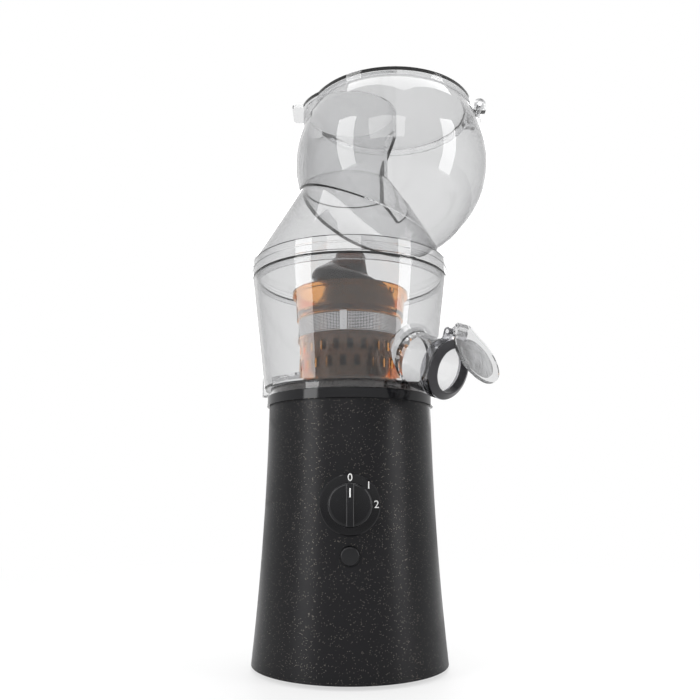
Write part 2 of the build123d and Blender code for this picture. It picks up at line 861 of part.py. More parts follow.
def bowl_floor():
    """The darker plate inside the skirt, with the strainer's seat and the coupling's hub."""
    plate = disc(floor_plate_r, bowl_z - floor_drop, floor_top)
    plate += ring(floor_rib_r, floor_rib_r - floor_rib[0], bowl_z - floor_drop - floor_rib[1],
                  bowl_z - floor_drop + 0.5)
    plate += disc(cage_r + seat_wall, floor_top - 0.5, floor_top + seat_height + seat_lip)
    plate -= disc(cage_r + seat_gap, floor_top + seat_height, bowl_rim)
    plate -= ring(cage_r - 3, hub_r, floor_top, floor_top + 30)
    plate += disc(hub_r, floor_top - 0.5, hub_top)
    plate -= disc(bush_r, bowl_z - floor_drop - 1, hub_top + 1)
    return plate - chute_outside()


def bowl_bush():
    """The grey lip seal and bush that the coupling turns in."""
    return ring(bush_r, journal_r + running_gap, bowl_z - floor_drop, hub_top)


def drive_coupling():
    low = bowl_z - floor_drop - coupling_head
    body = disc(coupling_head_r, low, bowl_z - floor_drop - clip_gap)
    body += disc(journal_r, bowl_z - floor_drop - 0.5, hub_top + clip_height)
    body += hexagon(coupling_hex, hub_top + clip_height - 0.1, hub_top + clip_height + coupling_post)
    return body - hexagon(drive_hex + 2 * hex_gap, low - 1, recess_floor + drive_head + 0.5)


def coupling_clip():
    clip = ring(clip_r, journal_r, hub_top + clip_gap, hub_top + clip_height)
    return clip - block(-clip_split / 2, clip_split / 2, 0, 2 * clip_r, hub_top, hub_top + 2 * clip_height)


# ---------------------------------------------------------------- spout fittings
# Local places in the mouth's plane: x across, y up, z out of the mouth.
flap_hinge_y = collar_r + 4.0
flap_hinge_z = -3.0
flap_back = gasket_proud + flap_gap


def flap_bar(radius, length):
    """A bar along the flap's hinge axis, in the mouth's plane."""
    return Pos(0, flap_hinge_y, flap_hinge_z) * Rot(0, 90, 0) * Cylinder(radius, length)


def spout_collar():
    collar = spout_solid(collar_r, spout_mouth_r - collar_length, spout_mouth_r)
    collar -= spout_solid(spout_r, spout_mouth_r - 20, spout_mouth_r + 1)
    ears = []
    for side in (-1, 1):
        ear = Pos(side * ear_offset, collar_r, flap_hinge_z) * Box(ear_width, 7, 6)
        ear += Pos(side * ear_offset, flap_hinge_y, flap_hinge_z) * Rot(0, 90, 0) * Cylinder(knuckle_flap_r, ear_width)
        ears.append(ear - flap_bar(flap_pin_r, 40))
    for ear in ears:
        collar += along_spout(spout_mouth_r) * ear - spout_solid(spout_r, spout_mouth_r - 20, spout_mouth_r + 1)
    return collar


def spout_gasket():
    """A black rubber ring on the mouth's face that slopes up to a lip, with a sleeve inside the bore."""
    bore_r = spout_r - spout_wall
    inner_r, outer_r = bore_r - gasket_wall, collar_r - 0.4
    face = turned([(inner_r, 0), (outer_r, 0), (outer_r, gasket_edge), (inner_r + gasket_lip, gasket_proud),
                   (inner_r, gasket_proud)])
    sleeve = ring(bore_r, inner_r, -gasket_sleeve, 0)
    return along_spout(spout_mouth_r) * (face + sleeve)


def flap_pin():
    return along_spout(spout_mouth_r) * flap_bar(flap_pin_r, 2 * ear_offset + ear_width)


def flap_closed():
    """The flap as it lies shut over the gasket, in the mouth's own plane."""
    low = flap_hinge_y - flap_length
    round_r = flap_round_r
    face = Pos(0, low + round_r) * Circle(round_r)
    side, rise = round_r - flap_taper[0], low + round_r + flap_taper[1]
    head = flap_hinge_y + flap_pin_r
    face += make_face(Polyline((-side, rise), (-flap_neck, head), (flap_neck, head), (side, rise), close=True))
    plate = extrude(Pos(0, 0, flap_back) * face, flap_thickness)
    knuckle_length = 2 * (ear_offset - ear_width / 2 - flap_gap)
    arm = block(-knuckle_length / 2, knuckle_length / 2, flap_hinge_y - flap_pin_r, flap_hinge_y + flap_pin_r,
                flap_hinge_z, flap_back + flap_thickness)
    plate += arm + flap_bar(knuckle_flap_r, knuckle_length)
    return plate - flap_bar(flap_pin_r + running_gap, 40)


def flap_at_rest(piece):
    """Swings a piece of the closed flap out to where the flap stands."""
    hinge = Pos(0, flap_hinge_y, flap_hinge_z)
    swing = hinge * Rot(-flap_rest_angle, 0, 0) * Pos(0, -flap_hinge_y, -flap_hinge_z)
    return along_spout(spout_mouth_r) * swing * piece


def spout_flap():
    return flap_at_rest(flap_closed())


def flap_pad():
    """A silicone disc on the flap's inner face, which plugs the gasket."""
    pad_r = spout_r - spout_wall - gasket_wall - pad_gap
    return flap_at_rest(disc(pad_r, flap_back - pad_thickness, flap_back))


# ---------------------------------------------------------------- strainer
def strainer_frame():
    ring_low = strainer_top - strainer_ring
    neck_r_top = strainer_ring_r - 2.5
    frame = turned([(neck_r_top - strainer_wall, strainer_top), (strainer_ring_r, strainer_top),
                    (strainer_ring_r, ring_low), (neck_r_top, ring_low), (cone_foot_r, mesh_top),
                    (cage_inner_r, mesh_top), (cage_inner_r, mesh_top + 3),
                    (cone_foot_r - strainer_wall, mesh_top + 6)])
    pillar_r = mesh_r - mesh_thickness - 0.1
    pillars = ring(pillar_r, cage_inner_r, mesh_bottom - 0.5, mesh_top + 0.5)
    gap = 360.0 / mesh_pillars
    window = block(cage_inner_r - 5, pillar_r + 5, -mesh_window / 2, mesh_window / 2, mesh_bottom, mesh_top)
    for copy in around(window, mesh_pillars, gap / 2):
        pillars -= copy
    frame += pillars
    frame += ring(mesh_r + 0.4, cage_inner_r, mesh_bottom - 2.5, mesh_bottom)
    frame += ring(cage_r, cage_inner_r, strainer_bottom, mesh_bottom - 2)
    frame += ring(cage_r, hub_r + 0.6, strainer_bottom, strainer_bottom + strainer_floor)
    slot_z = mesh_bottom - slot_first_drop - cage_slot[1]
    for row in range(2):
        low = slot_z - row * (cage_slot[1] + slot_row_gap)
        slot = block(cage_inner_r - 5, cage_r + 5, -cage_slot[0] / 2, cage_slot[0] / 2, low, low + cage_slot[1])
        for copy in around(slot, cage_slots, row * 180 / cage_slots):
            frame -= copy
    frame -= pulp_duct(pulp_width, pulp_height, cage_inner_r - 8, cage_r + 5,
                       strainer_bottom + strainer_floor)
    tab_out, tab_across, tab_down = tab_size
    tab = block(strainer_ring_r - tab_out - 0.6, strainer_ring_r - 0.6, -tab_across / 2, tab_across / 2,
                ring_low - tab_down, ring_low + 0.5)
    for copy in around(tab, tab_count, tab_start):
        frame += copy
    return frame


def strainer_mesh():
    band = ring(mesh_r, mesh_r - mesh_thickness, mesh_bottom, mesh_top)
    seam = block(mesh_r - 0.2, mesh_r + seam_proud, -seam_width / 2, seam_width / 2, mesh_bottom, mesh_top)
    return band + Rot(0, 0, seam_angle) * seam


# ---------------------------------------------------------------- auger
def auger_outline(points):
    """A solid of revolution from (radius, depth) points below the auger's top, down to its chamfered foot."""
    foot = [(points[-1][0], auger_height - 8), (points[-1][0] - 6.5, auger_height), (0, auger_height)]
    return turned([(r, auger_top - depth) for r, depth in [(0, 0)] + points + foot])


def auger_envelope():
    """The space the auger's ridges and blade sweep."""
    return auger_outline([(9, 1), (16, 5), (24, 11), (30, 17), (32.5, 23), (34.5, 34), (auger_r, 46),
                          (auger_r, 84), (35.6, 90), (34.2, 94)])


def auger_ridge(top_depth, low_depth, crest_depth, half, root_r, turn=0.0):
    """A left-hand helical ridge whose crest passes the -X side at crest_depth."""
    spread = 360.0 * half / auger_lead
    points = []
    for share in (-1, -0.85, -0.6, -0.3, 0, 0.3, 0.6, 0.85, 1):
        radius = root_r + (auger_r + 1 - root_r) * (1 - share * share) ** crest_power
        angle = math.radians(spread * share)
        points.append((radius * math.cos(angle), radius * math.sin(angle)))
    points.append((0, 0))
    face = make_face(Polyline(*points, close=True))
    height = low_depth - top_depth
    ridge = Solid.extrude_linear_with_rotation(
        face.face().outer_wire(), (0, 0, 0), (0, 0, height), -360.0 * height / auger_lead)
    angle = 180.0 + 360.0 * (low_depth - crest_depth) / auger_lead + turn
    return Pos(0, 0, auger_top - low_depth) * Rot(0, 0, angle) * ridge


def auger_screw():
    core = auger_outline([(7, 1.2), (11, 4), (13, 10), (14.5, 18), (19, 27), (22, 34), (auger_waist_r, 38),
                          (28, 45), (32.6, 52), (auger_body_r, 66), (auger_body_r, 84)])
    blades = auger_ridge(-over, blade_end, blade_depth, blade_half, blade_root_r)
    for start in range(auger_starts):
        blades += auger_ridge(ridge_start, auger_height + over, ridge_depth, ridge_half, ridge_root_r,
                              360.0 * start / auger_starts)
    screw_body = core + (blades & auger_envelope())
    screw_body -= ring(auger_hollow_r, socket_insert_r + auger_wall, auger_bottom - over,
                       auger_bottom + auger_hollow)
    screw_body -= disc(socket_insert_r, auger_bottom - over, auger_bottom + socket_insert_height)
    width, height = notch_size
    notch = block(auger_hollow_r - 1, auger_r + 3, -width / 2, width / 2, auger_bottom - over,
                  auger_bottom + height)
    for copy in around(notch, notch_count, notch_start):
        screw_body -= copy
    return screw_body


def auger_insert():
    insert = disc(socket_insert_r, auger_bottom, auger_bottom + socket_insert_height)
    return insert - hexagon(coupling_hex + 2 * hex_gap, auger_bottom - 1,
                            hub_top + clip_height + coupling_post + 0.4)


# ---------------------------------------------------------------- hopper
hopper_z = bowl_rim


def hopper_solid(inset):
    """Ring, cone and neck as one solid of revolution, inset from the outer face."""
    z = hopper_z
    low = z + hopper_seal_height - (1 if inset else 0)
    high = z + hopper_height + (1 if inset else 0)
    return turned([(0, low), (bowl_top_r - inset, low), (bowl_top_r - inset, z + hopper_ring),
                   (neck_r - inset, z + neck_height), (neck_r - inset, high), (0, high)])


def feed_window():
    """The arched window in the neck, where the globe's food reaches the auger."""
    head_r = window_width / 2
    window = block(0, neck_r + 40, -window_width / 2, window_width / 2,
                   hopper_z + window_foot, hopper_z + window_head - head_r)
    return window + Pos(0, 0, hopper_z + window_head - head_r) * Rot(0, 90, 0) * Cylinder(
        head_r, neck_r + 40, align=(Align.CENTER, Align.CENTER, Align.MIN))


def neck_span():
    """A plain cylinder over the neck, from the cone's top upwards."""
    return disc(neck_r + 1, hopper_z + neck_height, hopper_z + hopper_height + 2)


def feed_neck():
    """The straight tube on top of the cone."""
    return ((hopper_solid(0) - hopper_solid(hopper_wall)) & neck_span()) - feed_window()


def hopper_body():
    body = hopper_solid(0) - hopper_solid(hopper_wall) - neck_span()
    spigot_r = bowl_top_r - bowl_wall - spigot_gap
    body += ring(bowl_top_r - 1, spigot_r - spigot_wall, hopper_z + hopper_seal_height,
                 hopper_z + hopper_seal_height + 2)
    body += ring(spigot_r, spigot_r - spigot_wall, hopper_z - spigot_depth, hopper_z + hopper_seal_height + 1)
    body += ring(bowl_top_r + bead_proud, bowl_top_r - 1, hopper_z + bead_low, hopper_z + bead_high)
    return body - feed_window()


def hopper_seal():
    return ring(bowl_top_r, bowl_top_r - bowl_wall - spigot_gap + 0.1, hopper_z, hopper_z + hopper_seal_height)


def mouth_radius(radius):
    """Radius of a sphere about the globe's centre, at the globe's mouth."""
    return math.sqrt(radius ** 2 - (hopper_height - globe_centre) ** 2)


def globe_arc(radius, low_angle, high):
    """A smooth curve along the globe, from an angle below its middle up to a height above it."""
    high_angle = math.degrees(math.asin(high / radius))
    steps = 8
    points = []
    for step in range(steps + 1):
        angle = math.radians(low_angle + (high_angle - low_angle) * step / steps)
        points.append((radius * math.cos(angle), 0, radius * math.sin(angle)))
    return Spline(*points)


def neck_and_cone():
    """The cone and neck as plain solids, to cut what meets them."""
    cone = Pos(0, 0, hopper_z + hopper_ring) * Cone(
        bowl_top_r, neck_r, neck_height - hopper_ring, align=(Align.CENTER, Align.CENTER, Align.MIN))
    return cone + disc(neck_r, hopper_z + neck_height - 1, hopper_z + hopper_height + 1)


def feed_globe():
    lip_z = hopper_z + hopper_height
    mouth = hopper_height - globe_centre
    outer = globe_arc(globe_r, globe_low_angle, mouth - globe_lip)
    inner = globe_arc(globe_r - globe_wall, globe_low_angle, mouth)
    lip_r = mouth_radius(globe_r) + globe_lip
    lip = Polyline(outer @ 1, (lip_r, 0, mouth - globe_lip), (lip_r, 0, mouth), inner @ 1)
    outline = make_face(Curve() + [outer, lip, inner, Line(inner @ 0, outer @ 0)])
    shell = Pos(globe_offset, 0, hopper_z + globe_centre) * revolve(outline, Axis.Z)
    shell -= neck_and_cone()
    for side in (-1, 1):
        y = side * (hinge_width - hinge_ear) / 2
        ear = Pos(hinge_x(), y, hinge_z()) * Rot(90, 0, 0) * Cylinder(knuckle_r, hinge_ear)
        ear += block(hinge_x() - knuckle_r - globe_lip, hinge_x() + knuckle_r, y - hinge_ear / 2,
                     y + hinge_ear / 2, lip_z - globe_lip, lip_z)
        ear += block(hinge_x() - knuckle_r, hinge_x() + knuckle_r, y - hinge_ear / 2, y + hinge_ear / 2,
                     lip_z - 1, hinge_z())
        shell += ear - hinge_bar(hinge_pin_r, hinge_width + 10)
    return shell


def hinge_x():
    return globe_offset + mouth_radius(globe_r) + globe_lip + knuckle_r + hinge_gap


def hinge_z():
    return hopper_z + hopper_height + hinge_rise


def hinge_bar(radius, length):
    return Pos(hinge_x(), 0, hinge_z()) * Rot(90, 0, 0) * Cylinder(radius, length)


def lid_hinge_pin():
    return hinge_bar(hinge_pin_r, hinge_width)


def feed_lid():
    z = hopper_z + hopper_height + lid_gap
    outline = Pos(globe_offset, 0) * Circle(mouth_radius(globe_r) + globe_lip) + Circle(neck_r + lid_neck_lap)
    outline += Pos(-neck_r, 0) * RectangleRounded(*lid_tab)
    lid = extrude(Pos(0, 0, z) * outline, lid_thickness)
    half = hinge_width / 2 - hinge_ear - hinge_gap
    tongue = block(hinge_x() - knuckle_r - 8, hinge_x(), -half, half, z, z + lid_thickness)
    knuckle = Pos(hinge_x(), 0, hinge_z()) * Rot(90, 0, 0) * Cylinder(knuckle_r - lid_knuckle_drop, 2 * half)
    lid += tongue + knuckle
    return lid - hinge_bar(hinge_pin_r + running_gap, 60)


# ---------------------------------------------------------------- output
def housing_with_guide():
    return base_housing() + button_guide()


PIECES = {
    "base_housing": housing_with_guide,
    "bottom_plate": bottom_plate,
    "rubber_feet": rubber_feet,
    "bottom_screws": bottom_screws,
    "top_cover": top_cover,
    "shaft_seal": shaft_seal,
    "motor_can": motor_can,
    "motor_bearings": motor_bearings,
    "motor_stator": motor_stator,
    "motor_screws": motor_screws,
    "rotor_core": rotor_core,
    "motor_shaft": motor_shaft,
    "motor_pinion": motor_pinion,
    "cooling_fan": cooling_fan,
    "gearbox_tray": gearbox_tray,
    "gearbox_cover": gearbox_cover,
    "gearbox_screws": gearbox_screws,
    "idler_pin": idler_pin,
    "compound_gear": compound_gear,
    "output_gear": output_gear,
    "drive_shaft": drive_shaft,
    "shaft_bearing": shaft_bearing,
    "dial_ring": dial_ring,
    "rotary_switch": rotary_switch,
    "speed_knob": speed_knob,
    "reverse_button": reverse_button,
    "button_switch": button_switch,
    "switch_board": switch_board,
    "control_board": control_board,
    "capacitor": capacitor,
    "power_inlet": power_inlet,
    "juice_bowl": juice_bowl,
    "bowl_foot": bowl_foot,
    "bowl_floor": bowl_floor,
    "spout_tube": spout_tube,
    "pulp_chute": pulp_chute,
    "bowl_bush": bowl_bush,
    "drive_coupling": drive_coupling,
    "coupling_clip": coupling_clip,
    "spout_collar": spout_collar,
    "spout_gasket": spout_gasket,
    "flap_pin": flap_pin,
    "spout_flap": spout_flap,
    "flap_pad": flap_pad,
    "strainer_frame": strainer_frame,
    "strainer_mesh": strainer_mesh,
    "auger_screw": auger_screw,
    "auger_insert": auger_insert,
    "hopper_body": hopper_body,
    "feed_neck": feed_neck,
    "hopper_seal": hopper_seal,
    "feed_globe": feed_globe,
    "lid_hinge_pin": lid_hinge_pin,
    "feed_lid": feed_lid,
}

os.makedirs("parts", exist_ok=True)
for name, make in PIECES.items():
    export_step(make(), f"parts/{name}.step")
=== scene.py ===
"""Dresses a cold press juicer: motor base, juice bowl with spout, strainer, auger and feed hopper."""

from __future__ import annotations

import json
import logging
import math
from dataclasses import dataclass, field
from enum import Enum
from typing import Callable

import bmesh
import bpy
from mathutils import Matrix, Vector

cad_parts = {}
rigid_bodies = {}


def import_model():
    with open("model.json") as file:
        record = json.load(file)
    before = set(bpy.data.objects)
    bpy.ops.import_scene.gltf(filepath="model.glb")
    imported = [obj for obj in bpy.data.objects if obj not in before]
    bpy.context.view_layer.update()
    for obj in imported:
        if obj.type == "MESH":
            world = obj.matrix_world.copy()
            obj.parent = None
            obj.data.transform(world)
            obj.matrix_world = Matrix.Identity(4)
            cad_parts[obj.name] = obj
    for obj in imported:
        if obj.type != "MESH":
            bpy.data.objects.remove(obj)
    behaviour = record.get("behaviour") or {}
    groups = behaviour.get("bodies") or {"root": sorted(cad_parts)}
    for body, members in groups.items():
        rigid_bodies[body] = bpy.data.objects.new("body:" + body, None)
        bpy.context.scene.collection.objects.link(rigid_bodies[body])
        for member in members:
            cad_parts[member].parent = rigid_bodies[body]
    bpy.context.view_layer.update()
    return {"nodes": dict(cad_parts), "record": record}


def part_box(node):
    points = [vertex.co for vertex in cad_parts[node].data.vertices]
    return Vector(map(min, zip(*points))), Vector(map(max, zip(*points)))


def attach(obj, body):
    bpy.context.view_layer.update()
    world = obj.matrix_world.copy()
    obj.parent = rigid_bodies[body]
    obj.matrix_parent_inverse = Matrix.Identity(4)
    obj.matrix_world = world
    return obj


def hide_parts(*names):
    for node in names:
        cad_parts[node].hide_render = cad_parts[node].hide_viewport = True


LOG = logging.getLogger("juicer")
MM = 0.001
Color = tuple[float, float, float]
Profile = list[tuple[float, float]]


# ------------------------------------------------------------------ node tools
class Socket(Enum):
    """The kinds of socket that a node group shows."""

    NUMBER = "NodeSocketFloat"
    COLOR = "NodeSocketColor"
    VECTOR = "NodeSocketVector"


@dataclass
class Effect:
    """A shader node group under construction, with its named inputs and outputs."""

    name: str
    tree: bpy.types.NodeTree = field(init=False)
    entry: bpy.types.Node = field(init=False)
    leave: bpy.types.Node = field(init=False)

    def __post_init__(self) -> None:
        """Creates the empty group."""
        self.tree = bpy.data.node_groups.new(self.name, "ShaderNodeTree")
        self.entry = self.tree.nodes.new("NodeGroupInput")
        self.leave = self.tree.nodes.new("NodeGroupOutput")

    def takes(self, name: str, kind: Socket, value: object) -> None:
        """Adds a named input.

        Args:
            name: The input's name.
            kind: The kind of socket.
            value: Its value where a material sets none.
        """
        socket = self.tree.interface.new_socket(name, in_out="INPUT", socket_type=kind.value)
        socket.default_value = value

    def gives(self, name: str, kind: Socket, source: bpy.types.NodeSocket) -> None:
        """Adds a named output fed by a socket inside the group.

        Args:
            name: The output's name.
            kind: The kind of socket.
            source: What feeds it.
        """
        self.tree.interface.new_socket(name, in_out="OUTPUT", socket_type=kind.value)
        self.tree.links.new(source, self.leave.inputs[name])

    def node(self, kind: str, **values: object) -> bpy.types.Node:
        """Adds a node inside the group and sets its properties or inputs."""
        return add_node(self.tree, kind, **values)

    def link(self, source: bpy.types.NodeSocket, target: bpy.types.NodeSocket) -> None:
        """Joins two sockets inside the group."""
        self.tree.links.new(source, target)


def add_node(tree: bpy.types.NodeTree, kind: str, **values: object) -> bpy.types.Node:
    """Adds a node and sets its properties and unlinked inputs.

    Args:
        tree: Where the node goes.
        kind: The node's type, such as ShaderNodeTexNoise.
        values: Properties by name, or inputs by name with spaces as underscores.

    Returns:
        The new node.
    """
    node = tree.nodes.new(kind)
    for key, value in values.items():
        if hasattr(node, key):
            setattr(node, key, value)
        else:
            node.inputs[key.replace("_", " ")].default_value = value
    return node


def object_coordinates(effect: Effect) -> bpy.types.NodeSocket:
    """Gives the position on the piece in metres, the same at every size of image."""
    return effect.node("ShaderNodeTexCoord").outputs["Object"]


def grain_effect() -> bpy.types.NodeTree:
    """Fine moulded grain with soft waves under it.

    Returns:
        The group, which puts out a height.
    """
    effect = Effect("moulded_grain")
    effect.takes("Grain", Socket.NUMBER, 1.0)
    effect.takes("Waves", Socket.NUMBER, 0.5)
    effect.takes("Scale", Socket.NUMBER, 2500.0)
    place = object_coordinates(effect)
    fine = effect.node("ShaderNodeTexNoise", Detail=3.0, Roughness=0.6)
    effect.link(place, fine.inputs["Vector"])
    effect.link(effect.entry.outputs["Scale"], fine.inputs["Scale"])
    broad = effect.node("ShaderNodeTexNoise", Scale=38.0, Detail=1.0)
    effect.link(place, broad.inputs["Vector"])
    small = effect.node("ShaderNodeMath", operation="MULTIPLY")
    effect.link(fine.outputs["Fac"], small.inputs[0])
    effect.link(effect.entry.outputs["Grain"], small.inputs[1])
    large = effect.node("ShaderNodeMath", operation="MULTIPLY")
    effect.link(broad.outputs["Fac"], large.inputs[0])
    effect.link(effect.entry.outputs["Waves"], large.inputs[1])
    total = effect.node("ShaderNodeMath", operation="ADD")
    effect.link(small.outputs[0], total.inputs[0])
    effect.link(large.outputs[0], total.inputs[1])
    effect.gives("Height", Socket.NUMBER, total.outputs[0])
    return effect.tree


def handling_effect() -> bpy.types.NodeTree:
    """Faint smears and a dusting of fine specks that break up a gloss.

    Returns:
        The group, which puts out a roughness.
    """
    effect = Effect("handling_marks")
    effect.takes("Clean", Socket.NUMBER, 0.1)
    effect.takes("Smeared", Socket.NUMBER, 0.25)
    effect.takes("Scale", Socket.NUMBER, 22.0)
    place = object_coordinates(effect)
    smear = effect.node("ShaderNodeTexNoise", Detail=4.0, Distortion=1.2)
    effect.link(place, smear.inputs["Vector"])
    effect.link(effect.entry.outputs["Scale"], smear.inputs["Scale"])
    ramp = effect.node("ShaderNodeMapRange", interpolation_type="SMOOTHSTEP")
    ramp.inputs["From Min"].default_value = 0.46
    ramp.inputs["From Max"].default_value = 0.72
    effect.link(smear.outputs["Fac"], ramp.inputs["Value"])
    effect.link(effect.entry.outputs["Clean"], ramp.inputs["To Min"])
    effect.link(effect.entry.outputs["Smeared"], ramp.inputs["To Max"])
    speck = effect.node("ShaderNodeTexVoronoi", Scale=420.0, feature="F1")
    effect.link(place, speck.inputs["Vector"])
    dust = effect.node("ShaderNodeMapRange")
    dust.inputs["From Min"].default_value = 0.09
    dust.inputs["From Max"].default_value = 0.05
    dust.inputs["To Min"].default_value = 0.0
    dust.inputs["To Max"].default_value = 0.12
    effect.link(speck.outputs["Distance"], dust.inputs["Value"])
    total = effect.node("ShaderNodeMath", operation="ADD")
    effect.link(ramp.outputs["Result"], total.inputs[0])
    effect.link(dust.outputs["Result"], total.inputs[1])
    effect.gives("Roughness", Socket.NUMBER, total.outputs[0])
    return effect.tree


def fleck_effect() -> bpy.types.NodeTree:
    """Sparse bright flecks, as in a metallic paint.

    Returns:
        The group, which puts out a mask and a colour.
    """
    effect = Effect("metallic_flecks")
    effect.takes("Ground", Socket.COLOR, (0.02, 0.02, 0.022, 1.0))
    effect.takes("Fleck", Socket.COLOR, (0.55, 0.52, 0.47, 1.0))
    effect.takes("Share", Socket.NUMBER, 0.03)
    effect.takes("Scale", Socket.NUMBER, 1400.0)
    place = object_coordinates(effect)
    cells = effect.node("ShaderNodeTexVoronoi", feature="F1")
    effect.link(place, cells.inputs["Vector"])
    effect.link(effect.entry.outputs["Scale"], cells.inputs["Scale"])
    pick = effect.node("ShaderNodeSeparateColor")
    effect.link(cells.outputs["Color"], pick.inputs["Color"])
    chosen = effect.node("ShaderNodeMath", operation="LESS_THAN")
    effect.link(pick.outputs["Red"], chosen.inputs[0])
    effect.link(effect.entry.outputs["Share"], chosen.inputs[1])
    core = effect.node("ShaderNodeMath", operation="LESS_THAN")
    core.inputs[1].default_value = 0.33
    effect.link(cells.outputs["Distance"], core.inputs[0])
    mask = effect.node("ShaderNodeMath", operation="MULTIPLY")
    effect.link(chosen.outputs[0], mask.inputs[0])
    effect.link(core.outputs[0], mask.inputs[1])
    blend = effect.node("ShaderNodeMix", data_type="RGBA")
    effect.link(mask.outputs[0], blend.inputs["Factor"])
    effect.link(effect.entry.outputs["Ground"], blend.inputs[6])
    effect.link(effect.entry.outputs["Fleck"], blend.inputs[7])
    effect.gives("Mask", Socket.NUMBER, mask.outputs[0])
    effect.gives("Color", Socket.COLOR, blend.outputs[2])
    return effect.tree


def brushing_effect() -> bpy.types.NodeTree:
    """Fine drawn lines along one direction, as on turned or brushed metal.

    Returns:
        The group, which puts out a height and a roughness.
    """
    effect = Effect("drawn_lines")
    effect.takes("Stretch", Socket.VECTOR, (60.0, 60.0, 4000.0))
    effect.takes("Smooth", Socket.NUMBER, 0.22)
    effect.takes("Rough", Socket.NUMBER, 0.42)
    place = object_coordinates(effect)
    scaled = effect.node("ShaderNodeVectorMath", operation="MULTIPLY")
    effect.link(place, scaled.inputs[0])
    effect.link(effect.entry.outputs["Stretch"], scaled.inputs[1])
    lines = effect.node("ShaderNodeTexNoise", Scale=1.0, Detail=2.0)
    effect.link(scaled.outputs[0], lines.inputs["Vector"])
    rough = effect.node("ShaderNodeMapRange")
    effect.link(lines.outputs["Fac"], rough.inputs["Value"])
    effect.link(effect.entry.outputs["Smooth"], rough.inputs["To Min"])
    effect.link(effect.entry.outputs["Rough"], rough.inputs["To Max"])
    effect.gives("Height", Socket.NUMBER, lines.outputs["Fac"])
    effect.gives("Roughness", Socket.NUMBER, rough.outputs["Result"])
    return effect.tree


def rise_effect() -> bpy.types.NodeTree:
    """A second colour that comes in towards the top of a piece, in soft uneven edges.

    Returns:
        The group, which puts out a colour.
    """
    effect = Effect("tip_colour")
    effect.takes("Ground", Socket.COLOR, (0.01, 0.01, 0.01, 1.0))
    effect.takes("Tip", Socket.COLOR, (0.1, 0.04, 0.02, 1.0))
    effect.takes("Low", Socket.NUMBER, 0.3)
    effect.takes("High", Socket.NUMBER, 0.32)
    place = object_coordinates(effect)
    parts = effect.node("ShaderNodeSeparateXYZ")
    effect.link(place, parts.inputs[0])
    cloud = effect.node("ShaderNodeTexNoise", Scale=120.0, Detail=2.0)
    effect.link(place, cloud.inputs["Vector"])
    uneven = effect.node("ShaderNodeMath", operation="MULTIPLY_ADD")
    uneven.inputs[1].default_value = 0.006
    effect.link(cloud.outputs["Fac"], uneven.inputs[0])
    effect.link(parts.outputs["Z"], uneven.inputs[2])
    fade = effect.node("ShaderNodeMapRange", interpolation_type="SMOOTHSTEP")
    effect.link(uneven.outputs[0], fade.inputs["Value"])
    effect.link(effect.entry.outputs["Low"], fade.inputs["From Min"])
    effect.link(effect.entry.outputs["High"], fade.inputs["From Max"])
    blend = effect.node("ShaderNodeMix", data_type="RGBA")
    effect.link(fade.outputs["Result"], blend.inputs["Factor"])
    effect.link(effect.entry.outputs["Ground"], blend.inputs[6])
    effect.link(effect.entry.outputs["Tip"], blend.inputs[7])
    effect.gives("Color", Socket.COLOR, blend.outputs[2])
    return effect.tree


@dataclass
class Workshop:
    """Holds the shared effects and makes materials from them."""

    effects: dict[str, bpy.types.NodeTree] = field(default_factory=dict)

    def __post_init__(self) -> None:
        """Builds each shared effect once."""
        makers: dict[str, Callable[[], bpy.types.NodeTree]] = {
            "grain": grain_effect,
            "handling": handling_effect,
            "flecks": fleck_effect,
            "lines": brushing_effect,
            "rise": rise_effect,
        }
        self.effects = {name: make() for name, make in makers.items()}

    def place(self, tree: bpy.types.NodeTree, name: str, **values: object) -> bpy.types.Node:
        """Puts a shared effect into a material.

        Args:
            tree: The material's node tree.
            name: Which effect.
            values: Its inputs, by name.

        Returns:
            The group node.
        """
        node = tree.nodes.new("ShaderNodeGroup")
        node.node_tree = self.effects[name]
        for key, value in values.items():
            node.inputs[key].default_value = value
        return node

    def start(self, name: str) -> tuple[bpy.types.Material, bpy.types.NodeTree, bpy.types.Node]:
        """Makes a material with its Principled shader.

        Args:
            name: The material's name.

        Returns:
            The material, its node tree and its shader.
        """
        material = bpy.data.materials.new(name)
        material.use_nodes = True
        tree = material.node_tree
        return material, tree, tree.nodes["Principled BSDF"]

    def relief(self, tree: bpy.types.NodeTree, shader: bpy.types.Node, height: bpy.types.NodeSocket,
               depth: float, strength: float) -> None:
        """Feeds a height to the shader's normal through a bump.

        Args:
            tree: The material's node tree.
            shader: The Principled shader.
            height: Where the height comes from.
            depth: The relief's depth in metres.
            strength: How much of it shows.
        """
        bump = add_node(tree, "ShaderNodeBump", Distance=depth, Strength=strength)
        tree.links.new(height, bump.inputs["Height"])
        tree.links.new(bump.outputs["Normal"], shader.inputs["Normal"])


@dataclass(frozen=True)
class OpaqueFinish:
    """A moulded plastic, rubber or paint."""

    name: str
    color: Color
    clean: float = 0.3
    smeared: float = 0.4
    metallic: float = 0.0
    coat: float = 0.0
    grain: float = 0.6
    waves: float = 0.3
    depth: float = 0.00006
    grain_scale: float = 2500.0
    specular: float = 0.5

    def make(self, shop: Workshop) -> bpy.types.Material:
        """Builds the material.

        Args:
            shop: The shared effects.

        Returns:
            The new material.
        """
        material, tree, shader = shop.start(self.name)
        shader.inputs["Base Color"].default_value = (*self.color, 1.0)
        shader.inputs["Metallic"].default_value = self.metallic
        shader.inputs["Coat Weight"].default_value = self.coat
        shader.inputs["Specular IOR Level"].default_value = self.specular
        marks = shop.place(tree, "handling", Clean=self.clean, Smeared=self.smeared)
        tree.links.new(marks.outputs["Roughness"], shader.inputs["Roughness"])
        grain = shop.place(tree, "grain", Grain=self.grain, Waves=self.waves, Scale=self.grain_scale)
        shop.relief(tree, shader, grain.outputs["Height"], self.depth, 1.0)
        return material


